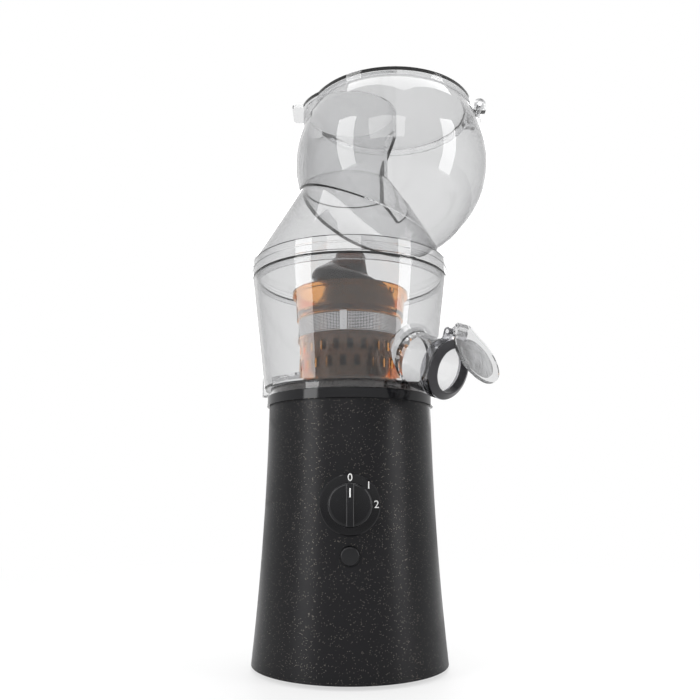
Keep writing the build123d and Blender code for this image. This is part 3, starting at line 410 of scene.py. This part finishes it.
@dataclass(frozen=True)
class ScrewFinish:
    """A deep black gloss that turns brown at the tip, with painted light that browns it where it is seen
    edge-on, as light through thin plastic would.
    """

    name: str
    ground: Color
    tip: Color
    low: float
    high: float
    clean: float = 0.1
    smeared: float = 0.2
    specular: float = 0.3
    # The next two set the painted light: brown where the surface is seen edge-on.
    edge_light_falloff: float = 4.0
    edge_light_share: float = 0.5
    grain: float = 0.1
    waves: float = 0.8
    depth: float = 0.0001
    grain_scale: float = 2500.0

    def make(self, shop: Workshop) -> bpy.types.Material:
        """Builds the material.

        Args:
            shop: The shared effects.

        Returns:
            The new material.
        """
        material, tree, shader = shop.start(self.name)
        zone = shop.place(tree, "rise", Ground=(*self.ground, 1.0), Tip=(*self.tip, 1.0), Low=self.low,
                          High=self.high)
        # Painted light: brown where the surface is seen edge-on, standing in for light let through thin
        # plastic.
        edge = add_node(tree, "ShaderNodeLayerWeight", Blend=0.5)
        thin = add_node(tree, "ShaderNodeMath", operation="POWER")
        thin.inputs[1].default_value = self.edge_light_falloff
        tree.links.new(edge.outputs["Facing"], thin.inputs[0])
        brown = add_node(tree, "ShaderNodeMix", data_type="RGBA")
        brown.inputs[7].default_value = (*(self.edge_light_share * c for c in self.tip), 1.0)
        tree.links.new(zone.outputs["Color"], brown.inputs[6])
        tree.links.new(thin.outputs[0], brown.inputs["Factor"])
        tree.links.new(brown.outputs[2], shader.inputs["Base Color"])
        shader.inputs["Specular IOR Level"].default_value = self.specular
        marks = shop.place(tree, "handling", Clean=self.clean, Smeared=self.smeared)
        tree.links.new(marks.outputs["Roughness"], shader.inputs["Roughness"])
        grain = shop.place(tree, "grain", Grain=self.grain, Waves=self.waves, Scale=self.grain_scale)
        shop.relief(tree, shader, grain.outputs["Height"], self.depth, 1.0)
        return material


@dataclass(frozen=True)
class FleckedFinish:
    """The base's black satin with fine metallic flecks."""

    name: str
    ground: Color
    fleck: Color
    share: float
    scale: float
    clean: float = 0.3
    smeared: float = 0.38
    specular: float = 0.12
    grain: float = 0.6
    waves: float = 0.15
    depth: float = 0.00005
    grain_scale: float = 1800.0

    def make(self, shop: Workshop) -> bpy.types.Material:
        """Builds the material.

        Args:
            shop: The shared effects.

        Returns:
            The new material.
        """
        material, tree, shader = shop.start(self.name)
        flecks = shop.place(tree, "flecks", Ground=(*self.ground, 1.0), Fleck=(*self.fleck, 1.0),
                            Share=self.share, Scale=self.scale)
        tree.links.new(flecks.outputs["Color"], shader.inputs["Base Color"])
        shader.inputs["Specular IOR Level"].default_value = self.specular
        marks = shop.place(tree, "handling", Clean=self.clean, Smeared=self.smeared)
        tree.links.new(marks.outputs["Roughness"], shader.inputs["Roughness"])
        tree.links.new(flecks.outputs["Mask"], shader.inputs["Metallic"])
        grain = shop.place(tree, "grain", Grain=self.grain, Waves=self.waves, Scale=self.grain_scale)
        shop.relief(tree, shader, grain.outputs["Height"], self.depth, 1.0)
        return material


@dataclass(frozen=True)
class ClearFinish:
    """A transparent moulded plastic with painted shade: its colour darkens where the wall is seen at a slant,
    with a thin dark line at the very edge.
    """

    name: str
    color: Color
    # The slant colour is painted shade: the wall is tinted towards it where it is seen at a slant.
    slant: Color
    clean: float = 0.02
    smeared: float = 0.05
    waves: float = 0.5
    ior: float = 1.49
    shade: float = 0.75
    falloff: float = 2.2
    # The next two set a painted shade line, a thin dark edge where the wall is seen edge-on.
    edge_shade_falloff: float = 6.0
    edge_shade_share: float = 0.12
    depth: float = 0.0004
    strength: float = 0.6
    wave_scale: float = 900.0

    def make(self, shop: Workshop) -> bpy.types.Material:
        """Builds the material: its shadow is let through, tinted, as clear plastic does.

        Args:
            shop: The shared effects.

        Returns:
            The new material.
        """
        material, tree, shader = shop.start(self.name)
        shader.inputs["Transmission Weight"].default_value = 1.0
        # Painted shade: the colour darkens towards the slant colour as the wall turns away from the eye.
        facing = add_node(tree, "ShaderNodeLayerWeight", Blend=0.5)
        deep = add_node(tree, "ShaderNodeMath", operation="POWER")
        deep.inputs[1].default_value = self.falloff
        tree.links.new(facing.outputs["Facing"], deep.inputs[0])
        tint = add_node(tree, "ShaderNodeMix", data_type="RGBA")
        tint.inputs[6].default_value = (*self.color, 1.0)
        tint.inputs[7].default_value = (*self.slant, 1.0)
        tree.links.new(deep.outputs[0], tint.inputs["Factor"])
        # Painted shade: a thin dark line where the wall is seen edge-on.
        line = add_node(tree, "ShaderNodeMath", operation="POWER")
        line.inputs[1].default_value = self.edge_shade_falloff
        tree.links.new(facing.outputs["Facing"], line.inputs[0])
        painted_edge_shade = add_node(tree, "ShaderNodeMix", data_type="RGBA")
        painted_edge_shade.inputs[7].default_value = (*(self.edge_shade_share * c for c in self.slant), 1.0)
        tree.links.new(tint.outputs[2], painted_edge_shade.inputs[6])
        tree.links.new(line.outputs[0], painted_edge_shade.inputs["Factor"])
        tree.links.new(painted_edge_shade.outputs[2], shader.inputs["Base Color"])
        shader.inputs["IOR"].default_value = self.ior
        marks = shop.place(tree, "handling", Clean=self.clean, Smeared=self.smeared)
        tree.links.new(marks.outputs["Roughness"], shader.inputs["Roughness"])
        grain = shop.place(tree, "grain", Grain=0.0, Waves=self.waves, Scale=self.wave_scale)
        shop.relief(tree, shader, grain.outputs["Height"], self.depth, self.strength)
        clear = tree.nodes.new("ShaderNodeBsdfTransparent")
        clear.inputs["Color"].default_value = (*(self.shade * c for c in self.color), 1.0)
        path = tree.nodes.new("ShaderNodeLightPath")
        mix = tree.nodes.new("ShaderNodeMixShader")
        tree.links.new(path.outputs["Is Shadow Ray"], mix.inputs["Fac"])
        tree.links.new(shader.outputs["BSDF"], mix.inputs[1])
        tree.links.new(clear.outputs["BSDF"], mix.inputs[2])
        tree.links.new(mix.outputs["Shader"], tree.nodes["Material Output"].inputs["Surface"])
        return material


@dataclass(frozen=True)
class MetalFinish:
    """A drawn, turned or rolled metal."""

    name: str
    color: Color
    smooth: float = 0.18
    rough: float = 0.36
    stretch: tuple[float, float, float] = (60.0, 60.0, 4000.0)
    depth: float = 0.00003
    strength: float = 0.7

    def make(self, shop: Workshop) -> bpy.types.Material:
        """Builds the material.

        Args:
            shop: The shared effects.

        Returns:
            The new material.
        """
        material, tree, shader = shop.start(self.name)
        shader.inputs["Base Color"].default_value = (*self.color, 1.0)
        shader.inputs["Metallic"].default_value = 1.0
        lines = shop.place(tree, "lines", Smooth=self.smooth, Rough=self.rough, Stretch=self.stretch)
        tree.links.new(lines.outputs["Roughness"], shader.inputs["Roughness"])
        shop.relief(tree, shader, lines.outputs["Height"], self.depth, self.strength)
        return material


Finish = OpaqueFinish | ScrewFinish | FleckedFinish | ClearFinish | MetalFinish

# Most keys are the record's material slots; the others are for own finishes and for the white marks.
FINISHES: dict[str, Finish] = {
    "black_satin": FleckedFinish("black_satin_flecked", (0.008, 0.008, 0.009), (0.3, 0.27, 0.23),
                                 share=0.05, scale=2300.0),
    "black_gloss": OpaqueFinish("black_gloss_moulding", (0.006, 0.006, 0.007), 0.08, 0.16,
                                grain=0.15, waves=0.35, specular=0.25),
    "black_rubber": OpaqueFinish("black_rubber", (0.012, 0.012, 0.012), 0.55, 0.7, grain=1.0, specular=0.3),
    "dark_plastic": OpaqueFinish("dark_moulding", (0.03, 0.03, 0.033), 0.42, 0.55, grain=1.0),
    "white_nylon": OpaqueFinish("white_nylon", (0.72, 0.71, 0.66), 0.32, 0.45),
    "steel": MetalFinish("turned_steel", (0.6, 0.6, 0.61)),
    "copper_stack": MetalFinish("laminated_stack", (0.36, 0.33, 0.31), 0.35, 0.55, (30.0, 30.0, 9000.0)),
    "brass": MetalFinish("machined_brass", (0.75, 0.55, 0.25)),
    "circuit_board": OpaqueFinish("green_board", (0.02, 0.12, 0.05), 0.25, 0.4, grain=0.4),
    "capacitor_sleeve": OpaqueFinish("blue_sleeve", (0.02, 0.04, 0.2), 0.2, 0.3),
    # The second colour of each clear finish is painted shade, shown where the wall is seen at a slant.
    "smoke_clear": ClearFinish("clear_smoke_plastic", (0.84, 0.842, 0.845), (0.26, 0.26, 0.27)),
    "smoke_floor": ClearFinish("thick_smoke_plastic", (0.12, 0.088, 0.08), (0.045, 0.034, 0.031)),
    "clear_silicone": ClearFinish("clear_silicone", (0.66, 0.665, 0.67), (0.3, 0.3, 0.31), 0.18, 0.3),
    "smoke_dark": ClearFinish("dark_smoke_plastic", (0.45, 0.45, 0.47), (0.12, 0.12, 0.13), 0.03, 0.07),
    "seal_black": OpaqueFinish("moulded_black_seal", (0.018, 0.017, 0.02), 0.3, 0.4, grain=0.2, specular=0.4),
    "amber_clear": ClearFinish("amber_plastic", (0.9, 0.4, 0.1), (0.42, 0.12, 0.025), 0.06, 0.16, shade=0.9),
    "mesh_steel": MetalFinish("bright_sheet_steel", (0.56, 0.56, 0.57), 0.34, 0.48, (700.0, 700.0, 60.0)),
    "grey_seal": OpaqueFinish("grey_seal", (0.55, 0.56, 0.57), 0.42, 0.55),
    "auger_black": ScrewFinish("auger_black_gloss", (0.004, 0.003, 0.003), (0.07, 0.022, 0.01), 0.307, 0.323),
    "white_print": OpaqueFinish("white_marking", (0.75, 0.75, 0.74), 0.4, 0.5),
}

# Pieces whose finish differs from the rest of their slot
OWN_FINISH: dict[str, str] = {"flap_pad": "clear_silicone", "spout_gasket": "seal_black"}


# ------------------------------------------------------------------ mesh tools
def build_piece(name: str, mesh: bmesh.types.BMesh, material: bpy.types.Material, body: str,
                smooth_angle: float = 40.0) -> bpy.types.Object:
    """Turns a bmesh into a piece that rides on a body.

    Args:
        name: The piece's name.
        mesh: Its shape, in metres. It is freed.
        material: Its material.
        body: The body it moves with.
        smooth_angle: Edges sharper than this many degrees stay crisp.

    Returns:
        The new object.
    """
    bmesh.ops.recalc_face_normals(mesh, faces=mesh.faces)
    data = bpy.data.meshes.new(name)
    mesh.to_mesh(data)
    mesh.free()
    data.materials.append(material)
    piece = bpy.data.objects.new(name, data)
    bpy.context.collection.objects.link(piece)
    data.shade_smooth()
    data.set_sharp_from_angle(angle=math.radians(smooth_angle))
    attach(piece, body)
    return piece


def ring_grid(mesh: bmesh.types.BMesh, rings: list[list[Vector]], close_ends: bool) -> None:
    """Skins a stack of closed rings of points.

    Args:
        mesh: Where the faces go.
        rings: Each ring's points, all the same number.
        close_ends: Whether the last ring is joined back to the first one.
    """
    rows = [[mesh.verts.new(point) for point in ring] for ring in rings]
    count = len(rows[0])
    spans = len(rows) if close_ends else len(rows) - 1
    for row in range(spans):
        lower, upper = rows[row], rows[(row + 1) % len(rows)]
        for col in range(count):
            following = (col + 1) % count
            mesh.faces.new((lower[col], lower[following], upper[following], upper[col]))


def smoothstep(low: float, high: float, value: float) -> float:
    """Runs from 0 at low to 1 at high with soft ends.

    Args:
        low: Where it leaves 0.
        high: Where it reaches 1.
        value: Where to read it.

    Returns:
        The share, from 0 to 1.
    """
    share = min(1.0, max(0.0, (value - low) / (high - low)))
    return share * share * (3 - 2 * share)


# ------------------------------------------------------------------ sub-assemblies
@dataclass
class Juicer:
    """What every sub-assembly shares: the frame and the finished materials."""

    nodes: dict[str, bpy.types.Object]
    slots: dict[str, str]
    materials: dict[str, bpy.types.Material]

    def dress(self, node: str, finish: str) -> None:
        """Gives a carried-over solid its finish."""
        for entry in self.nodes[node].material_slots:
            entry.material = self.materials[finish]

    def dress_all(self) -> None:
        """Gives each carried-over solid the finish of its own slot."""
        for node in self.nodes:
            self.dress(node, OWN_FINISH.get(node, self.slots[node]))
        LOG.info("dressed %d carried-over solids", len(self.nodes))


@dataclass
class Auger:
    """The feed screw, with a hooked cutting blade and four ridges that wind down to the right."""

    juicer: Juicer
    lead: float = 54.0
    starts: int = 4
    ridge_half: float = 5.4
    ridge_start: float = 48.0
    ridge_depth: float = 52.6
    blade_half: float = 13.2
    blade_end: float = 62.0
    blade_depth: float = 17.0
    blade_root: float = 12.0
    blade_over: float = 1.0
    ridge_fade: tuple[float, float] = (-4.0, 7.0)
    blade_fade: float = 9.0
    fold: float = 2.2
    crest_power: float = 0.62
    tip_steepness: float = 2.2
    notches: int = 8
    notch_height: float = 5.0
    notch_half_angle: float = 4.2
    notch_start: float = 11.0
    notch_floor: float = 2.5
    hollow_r: float = 22.0
    hollow_depth: float = 10.0
    tube_r: float = 13.5
    socket_r: float = 10.5
    socket_depth: float = 24.0
    centre_r: float = 0.4
    widest: float = 36.78
    around: int = 320
    steps: int = 300
    crowding: float = 1.12
    core_curve: Profile = field(default_factory=lambda: [
        (0, 0.4), (1.2, 7), (4, 11), (10, 13), (18, 14.5), (27, 19), (34, 22), (38, 23), (45, 28), (52, 32.6),
        (66, 33.2), (97.5, 33.2), (105.5, 27.2)])
    reach_curve: Profile = field(default_factory=lambda: [
        (0, 0.6), (0.9, 9), (5, 16), (11, 24), (17, 30), (23, 32.5), (34, 34.5), (46, 36.7), (84, 36.7),
        (90, 35.5), (97.5, 33.9), (105.5, 27.4)])

    def curve(self, points: Profile, depth: float) -> float:
        """Reads a smooth curve through the points at a depth.

        Args:
            points: (depth, radius) pairs in order.
            depth: Millimetres below the top.

        Returns:
            The radius in millimetres.
        """
        last = len(points) - 1
        for index in range(last):
            start, end = points[index], points[index + 1]
            if depth <= end[0] or index == last - 1:
                span = end[0] - start[0]
                share = min(1.0, max(0.0, (depth - start[0]) / span))
                before, after = points[max(0, index - 1)], points[min(last, index + 2)]
                slope_in = (end[1] - before[1]) / (end[0] - before[0]) * span
                slope_out = (after[1] - start[1]) / (after[0] - start[0]) * span
                if index == 0:
                    slope_in = self.tip_steepness * (end[1] - start[1])
                if index >= last - 2:
                    slope_in, slope_out = (end[1] - start[1],) * 2
                square, cube = share * share, share ** 3
                return (start[1] * (2 * cube - 3 * square + 1) + slope_in * (cube - 2 * square + share)
                        + end[1] * (3 * square - 2 * cube) + slope_out * (cube - square))
        return points[-1][1]

    def crest(self, away: float, half: float) -> float:
        """How far a ridge rises at a distance from its crest: 1 on the crest, 0 past its foot."""
        share = min(1.0, abs(away) / half)
        return (1 - share * share) ** self.crest_power

    def radius(self, depth: float, angle: float) -> float:
        """The surface's radius at a place.

        Args:
            depth: Millimetres below the top.
            angle: Degrees round the axis.

        Returns:
            The radius in millimetres.
        """
        core = self.curve(self.core_curve, depth)
        reach = max(core, self.curve(self.reach_curve, depth))
        lag = self.lead * (angle - 180.0) / 360.0
        spacing = self.lead / self.starts
        away = (depth - self.ridge_depth - lag + spacing / 2) % spacing - spacing / 2
        start, full = (self.ridge_start + offset for offset in self.ridge_fade)
        grown = smoothstep(start, full, depth)
        ridge = core + (reach - core) * self.crest(away, self.ridge_half) * grown
        away = (depth - self.blade_depth - lag + self.lead / 2) % self.lead - self.lead / 2
        left = 1 - smoothstep(self.blade_end - self.blade_fade, self.blade_end, depth)
        rise = self.crest(away, self.blade_half) * left
        blade = min(reach, self.blade_root + (reach + self.blade_over - self.blade_root) * rise)
        return self.join(ridge, blade, self.fold)

    def join(self, first: float, second: float, blend: float) -> float:
        """The larger of two radii, with a soft fold of the given width where they meet."""
        overlap = max(0.0, blend - abs(first - second))
        return max(first, second) + overlap * overlap / (4 * blend)

    def notched(self, from_bottom: float, angle: float) -> bool:
        """Whether a place falls in one of the notches round the lower edge.

        Args:
            from_bottom: Millimetres above the lower edge.
            angle: Degrees round the axis.

        Returns:
            True inside a notch.
        """
        pitch = 360.0 / self.notches
        away = abs((angle - self.notch_start + pitch / 2) % pitch - pitch / 2)
        return from_bottom < self.notch_height and away < self.notch_half_angle

    def ring(self, radius: float, level: float) -> list[Vector]:
        """A level circle of points.

        Args:
            radius: Its radius in millimetres.
            level: Its height in millimetres.

        Returns:
            The points, in metres.
        """
        return [Vector((radius * math.cos(2 * math.pi * col / self.around),
                        radius * math.sin(2 * math.pi * col / self.around), level)) * MM
                for col in range(self.around)]

    def build(self) -> bpy.types.Object:
        """Builds the screw in place of its plain solid.

        Returns:
            The new piece.
        """
        low, high = (corner[2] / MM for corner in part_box("auger_screw"))
        height = high - low
        rings = []
        for step in range(self.steps + 1):
            depth = height * (step / self.steps) ** self.crowding
            ring = []
            for col in range(self.around):
                angle = 360.0 * col / self.around
                radius = min(self.radius(depth, angle), self.widest)
                if self.notched(height - depth, angle):
                    radius = min(radius, self.hollow_r + self.notch_floor)
                turn = math.radians(angle)
                ring.append(Vector((radius * math.cos(turn), radius * math.sin(turn), high - depth)) * MM)
            rings.append(ring)
        inside = [(self.hollow_r, low), (self.hollow_r, low + self.hollow_depth),
                  (self.tube_r, low + self.hollow_depth), (self.tube_r, low), (self.socket_r, low),
                  (self.socket_r, low + self.socket_depth), (self.centre_r, low + self.socket_depth)]
        rings += [self.ring(radius, level) for radius, level in inside]
        mesh = bmesh.new()
        ring_grid(mesh, rings, close_ends=False)
        bmesh.ops.holes_fill(mesh, edges=[edge for edge in mesh.edges if edge.is_boundary])
        material = self.juicer.materials["auger_black"]
        piece = build_piece("auger_body", mesh, material, "auger", smooth_angle=50.0)
        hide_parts("auger_screw")
        LOG.info("auger_body: %d faces", len(piece.data.polygons))
        return piece


@dataclass
class Sieve:
    """The strainer's perforated band with its riveted seam."""

    juicer: Juicer
    radius: float = 41.5
    thickness: float = 0.5
    columns: int = 216
    rows: int = 12
    hole_share: float = 0.30
    side_reach: float = 1.35
    margin: float = 0.7
    seam_angle: float = -97.0
    seam_half: float = 2.6
    seam_front: float = 0.32
    seam_back: float = 0.02
    seam_steps: int = 6
    rivets: int = 3
    rivet_r: float = 1.05
    rivet_sink: float = 0.1
    rivet_flatness: float = 0.28

    def point(self, turn: float, radius: float, height: float) -> Vector:
        """A place on the band, from degrees and millimetres, in metres."""
        angle = math.radians(turn)
        return Vector((radius * math.cos(angle), radius * math.sin(angle), height)) * MM

    def face(self, mesh: bmesh.types.BMesh, corners: list[tuple[float, float, float]]) -> None:
        """Adds one face from corners of (degrees, radius, height)."""
        mesh.faces.new([mesh.verts.new(self.point(*corner)) for corner in corners])

    def cell(self, mesh: bmesh.types.BMesh, turn: float, height: float, step: float, rise: float) -> None:
        """Adds one square of the band with its hole.

        Args:
            mesh: Where the faces go.
            turn: The middle of the square, in degrees.
            height: Its middle, in millimetres.
            step: Its width, in degrees.
            rise: Its height, in millimetres.
        """
        corners = ((-1, -1), (0, -1), (1, -1), (1, 0), (1, 1), (0, 1), (-1, 1), (-1, 0))
        layers = []
        for radius in (self.radius, self.radius - self.thickness):
            outer, inner = [], []
            for across, up in corners:
                shrink = self.hole_share if across and up else self.hole_share * self.side_reach
                for loop, share in ((outer, 0.5), (inner, shrink)):
                    place = self.point(turn + across * step * share, radius, height + up * rise * share)
                    loop.append(mesh.verts.new(place))
            layers.append((outer, inner))
        (front_out, front_in), (back_out, back_in) = layers
        for index in range(8):
            after = (index + 1) % 8
            mesh.faces.new((front_out[index], front_out[after], front_in[after], front_in[index]))
            mesh.faces.new((back_out[after], back_out[index], back_in[index], back_in[after]))
            mesh.faces.new((front_in[index], front_in[after], back_in[after], back_in[index]))

    def build(self) -> bpy.types.Object:
        """Builds the band in place of its plain solid.

        Returns:
            The new piece.
        """
        low, high = (corner[2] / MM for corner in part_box("strainer_mesh"))
        mesh = bmesh.new()
        step = 360.0 / self.columns
        rise = (high - low - 2 * self.margin) / self.rows
        for row in range(self.rows):
            for col in range(self.columns):
                self.cell(mesh, (col + 0.5) * step, low + self.margin + (row + 0.5) * rise, step, rise)
        inner_r = self.radius - self.thickness
        for bottom, top in ((low, low + self.margin), (high - self.margin, high)):
            rings = []
            section = ((self.radius, bottom), (self.radius, top), (inner_r, top), (inner_r, bottom))
            for radius, level in section:
                rings.append([self.point(col * step / 2, radius, level) for col in range(2 * self.columns)])
            ring_grid(mesh, rings, close_ends=True)
        bmesh.ops.remove_doubles(mesh, verts=mesh.verts, dist=0.00002)
        self.add_seam(mesh, low, high)
        material = self.juicer.materials["mesh_steel"]
        piece = build_piece("sieve_band", mesh, material, "strainer", smooth_angle=30.0)
        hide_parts("strainer_mesh")
        LOG.info("sieve_band: %d faces", len(piece.data.polygons))
        return piece

    def add_seam(self, mesh: bmesh.types.BMesh, low: float, high: float) -> None:
        """Adds the overlapped strip and its rivets.

        Args:
            mesh: Where the faces go.
            low: The band's lower edge in millimetres.
            high: Its upper edge.
        """
        half = math.degrees(self.seam_half / self.radius)
        steps = self.seam_steps
        turns = [self.seam_angle + half * (2 * col / steps - 1) for col in range(steps + 1)]
        front, back = self.radius + self.seam_front, self.radius + self.seam_back
        for left, right in zip(turns, turns[1:]):
            for radius in (front, back):
                self.face(mesh, [(left, radius, low), (right, radius, low), (right, radius, high),
                                 (left, radius, high)])
            for level in (low, high):
                self.face(mesh, [(left, back, level), (right, back, level), (right, front, level),
                                 (left, front, level)])
        for turn in (turns[0], turns[-1]):
            self.face(mesh, [(turn, back, low), (turn, front, low), (turn, front, high), (turn, back, high)])
        bmesh.ops.remove_doubles(mesh, verts=mesh.verts, dist=0.00001)
        for index in range(self.rivets):
            level = low + (high - low) * (index + 0.5) / self.rivets
            centre = self.point(self.seam_angle, front - self.rivet_sink, level)
            spin = Matrix.Rotation(math.radians(self.seam_angle), 4, "Z")
            place = Matrix.Translation(centre) @ spin @ Matrix.Diagonal((self.rivet_flatness, 1.0, 1.0, 1.0))
            bmesh.ops.create_icosphere(mesh, subdivisions=3, radius=self.rivet_r * MM, matrix=place)


@dataclass
class Markings:
    """Plain numbers round the knob and the white line on its grip."""

    juicer: Juicer
    size: float = 0.0052
    font_scale: float = 1.4
    ring: float = 0.0182
    lift: float = 0.00012
    labels: tuple[tuple[str, float], ...] = (("0", 0.0), ("1", 45.0), ("2", 90.0))
    line: tuple[float, float, float] = (0.0008, 0.006, 0.008)

    def text(self, name: str, words: str, x: float, y: float, z: float, size: float) -> bpy.types.Object:
        """Adds raised lettering that faces the front.

        Args:
            name: The piece's name.
            words: What it says.
            x: Its middle.
            y: The face that it stands on.
            z: Its middle.
            size: The height of the letters in metres.

        Returns:
            The new piece.
        """
        curve = bpy.data.curves.new(name, "FONT")
        curve.body = words
        curve.size = size * self.font_scale
        curve.align_x = "CENTER"
        curve.align_y = "CENTER"
        curve.extrude = self.lift
        curve.materials.append(self.juicer.materials["white_print"])
        piece = bpy.data.objects.new(name, curve)
        bpy.context.collection.objects.link(piece)
        piece.rotation_euler = (math.radians(90), 0, 0)
        piece.location = (x, y, z)
        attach(piece, "base")
        return piece

    def pointer(self) -> bpy.types.Object:
        """Adds the white line on the knob's grip.

        Returns:
            The new piece.
        """
        low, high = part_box("speed_knob")
        middle_x, middle_z = (low[0] + high[0]) / 2, (low[2] + high[2]) / 2
        mesh = bmesh.new()
        place = Matrix.Translation((middle_x, low[1], middle_z + self.line[2])) @ Matrix.Diagonal(
            (self.line[0], 2 * self.lift, self.line[1], 1.0))
        bmesh.ops.create_cube(mesh, size=1.0, matrix=place)
        return build_piece("knob_line", mesh, self.juicer.materials["white_print"], "knob")

    def build(self) -> None:
        """Adds the numbers on the dial and the knob's line."""
        self.pointer()
        low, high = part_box("dial_ring")
        middle_z = (low[2] + high[2]) / 2
        for words, turn in self.labels:
            angle = math.radians(turn)
            self.text(f"dial_{words}", words, math.sin(angle) * self.ring, low[1],
                      middle_z + math.cos(angle) * self.ring, self.size)
        LOG.info("markings: %d numbers on the dial", len(self.labels))


@dataclass
class Studio:
    """Pale floor and backdrop, soft lamps and the camera."""

    eye_distance: float = 0.575
    eye_height: float = 0.1245
    pitch: float = 11.3
    view_angle: float = 51.5
    glow: float = 0.62
    surround: float = 0.42
    floor_half: float = 6.0
    floor_color: Color = (0.86, 0.86, 0.86)
    floor_fade: tuple[float, float] = (0.12, 0.9)

    def camera(self) -> bpy.types.Object:
        """Places the camera low in front of the juicer, looking up a little.

        Returns:
            The camera.
        """
        data = bpy.data.cameras.new("camera")
        data.sensor_width = 36.0
        data.angle = math.radians(self.view_angle)
        data.clip_start = 0.01
        eye = bpy.data.objects.new("camera", data)
        eye.location = (0.0, -self.eye_distance, self.eye_height)
        eye.rotation_euler = (math.radians(90 + self.pitch), 0, 0)
        bpy.context.collection.objects.link(eye)
        bpy.context.scene.camera = eye
        return eye

    def lamp(self, name: str, place: Color, aim: Color, size: tuple[float, float], power: float,
             color: Color = (1.0, 1.0, 1.0)) -> None:
        """Adds a soft box.

        Args:
            name: The lamp's name.
            place: Where it stands.
            aim: The point it faces.
            size: Its width and height.
            power: Its power in watts.
            color: The colour of its light.
        """
        data = bpy.data.lights.new(name, "AREA")
        data.shape = "RECTANGLE"
        data.size, data.size_y = size
        data.energy = power
        data.color = color
        lamp = bpy.data.objects.new(name, data)
        lamp.location = place
        direction = Vector(aim) - Vector(place)
        lamp.rotation_euler = direction.to_track_quat("-Z", "Y").to_euler()
        lamp.visible_camera = False
        lamp.visible_transmission = False
        bpy.context.collection.objects.link(lamp)

    def lights(self) -> None:
        """Sets two tall side boxes, a broad front one and a top one."""
        centre = (0.0, 0.0, 0.24)
        self.lamp("left_box", (-1.0, -0.75, 0.55), centre, (0.45, 1.3), 11.0)
        self.lamp("right_box", (1.1, -0.55, 0.5), centre, (0.35, 1.2), 8.0)
        self.lamp("front_box", (-0.2, -1.7, 1.0), centre, (1.2, 0.8), 9.0)
        self.lamp("top_box", (0.1, 0.15, 1.5), centre, (1.0, 1.0), 9.0)
        self.lamp("rear_box", (0.2, 1.3, 0.8), centre, (1.4, 1.0), 9.0)

    def sight(self, tree: bpy.types.NodeTree) -> tuple[bpy.types.Node, bpy.types.NodeSocket]:
        """Finds the rays that the camera sends, straight or through clear plastic.

        Args:
            tree: Where the nodes go.

        Returns:
            The Light Path node, and a value that is 1 for those rays.
        """
        path = tree.nodes.new("ShaderNodeLightPath")
        seen = add_node(tree, "ShaderNodeMath", operation="MAXIMUM")
        tree.links.new(path.outputs["Is Camera Ray"], seen.inputs[0])
        tree.links.new(path.outputs["Is Transmission Ray"], seen.inputs[1])
        return path, seen.outputs[0]

    def world(self) -> None:
        """Sets a soft grey-white surround that reads white to the eye and through clear plastic."""
        world = bpy.data.worlds.new("world")
        bpy.context.scene.world = world
        world.use_nodes = True
        tree = world.node_tree
        background = tree.nodes["Background"]
        path, seen = self.sight(tree)
        both = add_node(tree, "ShaderNodeMath", operation="MAXIMUM")
        tree.links.new(seen, both.inputs[0])
        tree.links.new(path.outputs["Is Glossy Ray"], both.inputs[1])
        level = tree.nodes.new("ShaderNodeMapRange")
        level.inputs["To Min"].default_value = self.surround
        level.inputs["To Max"].default_value = 1.0
        tree.links.new(both.outputs[0], level.inputs["Value"])
        background.inputs["Color"].default_value = (1.0, 1.0, 1.0, 1.0)
        tree.links.new(level.outputs["Result"], background.inputs["Strength"])

    def floor(self) -> None:
        """Lays a pale floor that keeps the shadow near the juicer and fades into the surround."""
        data = bpy.data.meshes.new("floor")
        half = self.floor_half
        corners = [(-half, -half, 0), (half, -half, 0), (half, half, 0), (-half, half, 0)]
        data.from_pydata(corners, [], [(0, 1, 2, 3)])
        floor = bpy.data.objects.new("floor", data)
        bpy.context.collection.objects.link(floor)
        material = bpy.data.materials.new("pale_floor")
        material.use_nodes = True
        tree = material.node_tree
        shader = tree.nodes["Principled BSDF"]
        shader.inputs["Base Color"].default_value = (*self.floor_color, 1.0)
        shader.inputs["Roughness"].default_value = 0.55
        shader.inputs["Specular IOR Level"].default_value = 0.2
        glow = tree.nodes.new("ShaderNodeEmission")
        place = tree.nodes.new("ShaderNodeTexCoord")
        length = add_node(tree, "ShaderNodeVectorMath", operation="LENGTH")
        tree.links.new(place.outputs["Object"], length.inputs[0])
        fade = add_node(tree, "ShaderNodeMapRange", interpolation_type="SMOOTHSTEP")
        fade.inputs["From Min"].default_value = self.floor_fade[0]
        fade.inputs["From Max"].default_value = self.floor_fade[1]
        fade.inputs["To Min"].default_value = self.glow
        fade.inputs["To Max"].default_value = 1.0
        tree.links.new(length.outputs["Value"], fade.inputs["Value"])
        share = add_node(tree, "ShaderNodeMath", operation="MULTIPLY")
        tree.links.new(self.sight(tree)[1], share.inputs[0])
        tree.links.new(fade.outputs["Result"], share.inputs[1])
        mix = tree.nodes.new("ShaderNodeMixShader")
        tree.links.new(share.outputs[0], mix.inputs["Fac"])
        tree.links.new(shader.outputs["BSDF"], mix.inputs[1])
        tree.links.new(glow.outputs["Emission"], mix.inputs[2])
        tree.links.new(mix.outputs["Shader"], tree.nodes["Material Output"].inputs["Surface"])
        data.materials.append(material)

    def build(self) -> None:
        """Sets up the whole studio."""
        self.camera()
        self.lights()
        self.world()
        self.floor()
        bpy.context.scene.view_settings.view_transform = "Standard"
        LOG.info("studio: camera, lamps, surround and floor")


def main() -> None:
    """Loads the frame, dresses its solids, sets up the studio and builds each sub-assembly."""
    logging.basicConfig(level=logging.INFO, format="%(name)s: %(message)s")
    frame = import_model()
    shop = Workshop()
    materials = {name: finish.make(shop) for name, finish in FINISHES.items()}
    slots = {entry["node"]: entry["material_slot"] for entry in frame["record"]["subparts"]}
    juicer = Juicer(frame["nodes"], slots, materials)
    juicer.dress_all()
    Studio().build()
    Auger(juicer).build()
    Sieve(juicer).build()
    Markings(juicer).build()


if __name__ == "__main__":
    main()
